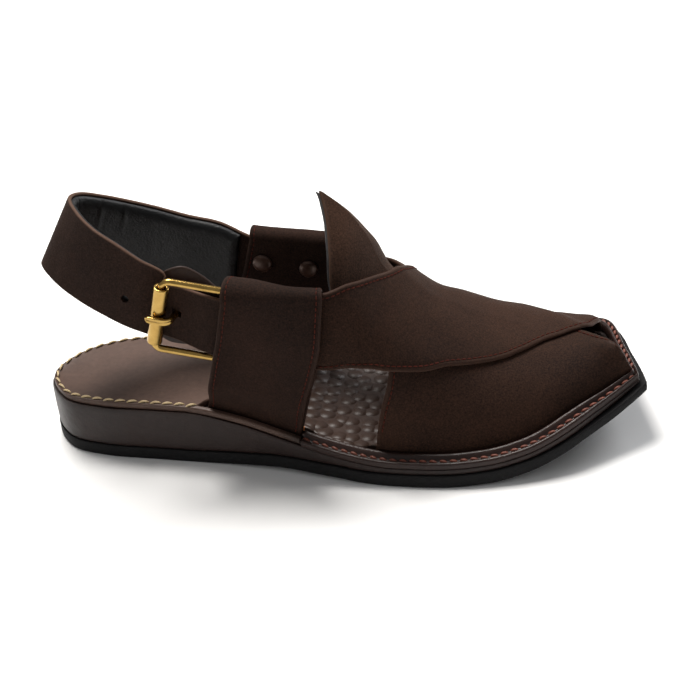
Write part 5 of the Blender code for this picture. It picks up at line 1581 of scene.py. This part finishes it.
# Section: shares of the width and of the thickness
PRONG_SECTION = np.array([
    (-0.5, -0.30), (-0.44, -0.44), (-0.32, -0.5), (0.32, -0.5), (0.44, -0.44), (0.5, -0.30),
    (0.5, 0.30), (0.44, 0.44), (0.32, 0.5), (0.14, 0.44), (0.0, 0.36), (-0.14, 0.44),
    (-0.32, 0.5), (-0.44, 0.44), (-0.5, 0.30),
])
PRONG_ROWS = 90
PRONG_POINTED = 0.045
prong_line = even(PRONG_ROUTE, PRONG_ROWS)
prong_along = np.gradient(prong_line, axis=0)
prong_along /= np.linalg.norm(prong_along, axis=1, keepdims=True)
prong_normal = np.stack([-prong_along[:, 1], prong_along[:, 0]], -1)
prong_tip = rounded(np.linspace(1, 0, PRONG_ROWS), PRONG_POINTED, 0.05)
prong_full = PRONG_THIN + (1 - PRONG_THIN) * smooth_step((prong_line[:, 0] - 4 * MM) / (9 * MM))
prong_depth = (PRONG_THICK * prong_full * prong_tip)[:, None] * PRONG_SECTION[None, :, 1]
prong_side = (PRONG_WIDTH * prong_tip)[:, None] * PRONG_SECTION[None, :, 0]
prong_forward = prong_line[:, :1] + prong_normal[:, :1] * prong_depth
prong_outward = prong_line[:, 1:] + prong_normal[:, 1:] * prong_depth
prong_points = (hinge + prong_forward[..., None] * back_way + prong_side[..., None] * up_way
                + prong_outward[..., None] * out_way)
prong = rod("brass_prong", prong_points, brass, sharp=35)
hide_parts("buckle_prong")


# The flap: smooth brown leather between the buckle and the foot, held by the outer loop.
FLAP_THICK = 1.6 * MM
FLAP_START = -2 * MM
FLAP_LENGTH = 43 * MM
# Share of its length, half width in widths of the strap's tail
FLAP = [(0.0, 0.42), (0.25, 0.52), (0.50, 0.68), (0.70, 0.74), (0.88, 0.62), (1.0, 0.36)]

flap_finish = smooth_leather("flap_brown_leather", paint(36, 25, 21), paint(58, 42, 36), 0.5,
                             0.00018)
flap_share = gathered(61, 0.5)
flap_lanes = 2 * gathered(41, 0.6) - 1
flap_along = FLAP_START + FLAP_LENGTH * flap_share
flap_fall = smooth_step((flap_along - 0.1 * BUCKLE_LENGTH) / (0.7 * BUCKLE_LENGTH))
hinge_depth = -(WIRE / 2 + PRONG_THIN * PRONG_THICK + 3 * GAP)
roller_depth = -(ROLLER_OUTER / 2 + 2 * STRAP_THICK + 4 * GAP)
flap_out = (hinge_depth * (1 - flap_fall) + roller_depth * flap_fall)[:, None]
flap_half = ease(FLAP, 1, flap_share) * TAIL_WIDTH
flap_depth = np.minimum(to_sides(2 * flap_half[:, None], (flap_lanes[None] + 1) / 2),
                        to_sides(FLAP_LENGTH, flap_share)[:, None])
flap_wall = rounded(flap_depth, 0.8 * MM) * FLAP_THICK / 2


def flap_skin(way):
    """One face of the flap: out from its middle by way times half the rounded thickness."""
    return (hinge + flap_along[:, None, None] * back_way
            + (flap_lanes[None] * flap_half[:, None])[..., None] * up_way
            + (flap_out - FLAP_THICK / 2 + way * flap_wall)[..., None] * out_way)


flap = shell("leather_flap", flap_skin(1), flap_skin(-1), flap_finish)
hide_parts("buckle_flap")


# The knot: orange thread tied off where the outer loop meets the insole in front.
KNOT_PLACE = np.array((91.0, -33.6, 0.0)) * MM
KNOT_RADIUS = 0.7 * MM
knot_thread = Finish("orange_thread", 0.5)
knot_thread.tones(knot_thread.noise(900, 2), paint(150, 84, 40), paint(204, 132, 76))
knot_height = top_height((KNOT_PLACE[0] + HEEL_SPOT) / LENGTH) + 0.5 * MM
knot_turns = np.linspace(0, 4 * np.pi, 9)
knot_middle = KNOT_PLACE + np.stack([KNOT_RADIUS * np.cos(knot_turns),
                                     KNOT_RADIUS * np.sin(knot_turns),
                                     knot_height + 0.10 * MM * np.arange(9)], -1)
knot_way = np.stack([-np.sin(knot_turns), np.cos(knot_turns), 0.4 + 0 * knot_turns], -1)
knot = stitches("thread_knot", knot_middle, knot_way, np.zeros((9, 3)) + (0, 0, 1.0),
                (1.8 * MM, 0.8 * MM, 0.8 * MM), knot_thread)


# The rivets: two brown lacquered domes that hold the heel strap's end in the inner loop.
RIVET_HEAD = 9.5 * MM
RIVET_RISE = 2.0 * MM
RIVET_POLE = 0.02 * MM
# Rear edge and width of the loop there, as stations
RIVET_COLUMNS = (0.35, 0.155)
RIVETS = [("rivet_rear", 0.383, 79 * MM), ("rivet_front", 0.456, 75 * MM)]

rivet_finish = Finish("brown_rivet_lacquer", 0.3, metallic=0.35)
rivet_finish.tones(rivet_finish.noise(300, 3), paint(50, 33, 26), paint(84, 60, 48))
rivet_finish.feed("Roughness", 0.26 + rivet_finish.noise(400, 3) * 0.14)
for rivet_name, station, height in RIVETS:
    turn = turn_at(MEDIAL, station, height)
    column = (station - RIVET_COLUMNS[0]) / RIVET_COLUMNS[1]
    depth = loop_room(MEDIAL, column, 0.7)[1] - LOOP_LEATHER - 1.5 * GAP
    centre = off_last(station, turn, depth)
    axis = off_last(station, turn, 0.0) - off_last(station, turn, 1.0)
    arc = np.linspace(0, np.pi / 2, 14)
    dome = np.stack([0.5 * RIVET_HEAD * np.cos(arc), RIVET_RISE * (0.18 + 0.82 * np.sin(arc))], -1)
    dome[-1, 0] = RIVET_POLE
    rim = [(RIVET_POLE, 0.0), (0.49 * RIVET_HEAD, 0.0), (0.5 * RIVET_HEAD, 0.08 * RIVET_RISE)]
    head = lathe(rivet_name + "_head", np.vstack([rim, dome]), centre, axis, 40, rivet_finish)
    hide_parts(rivet_name)
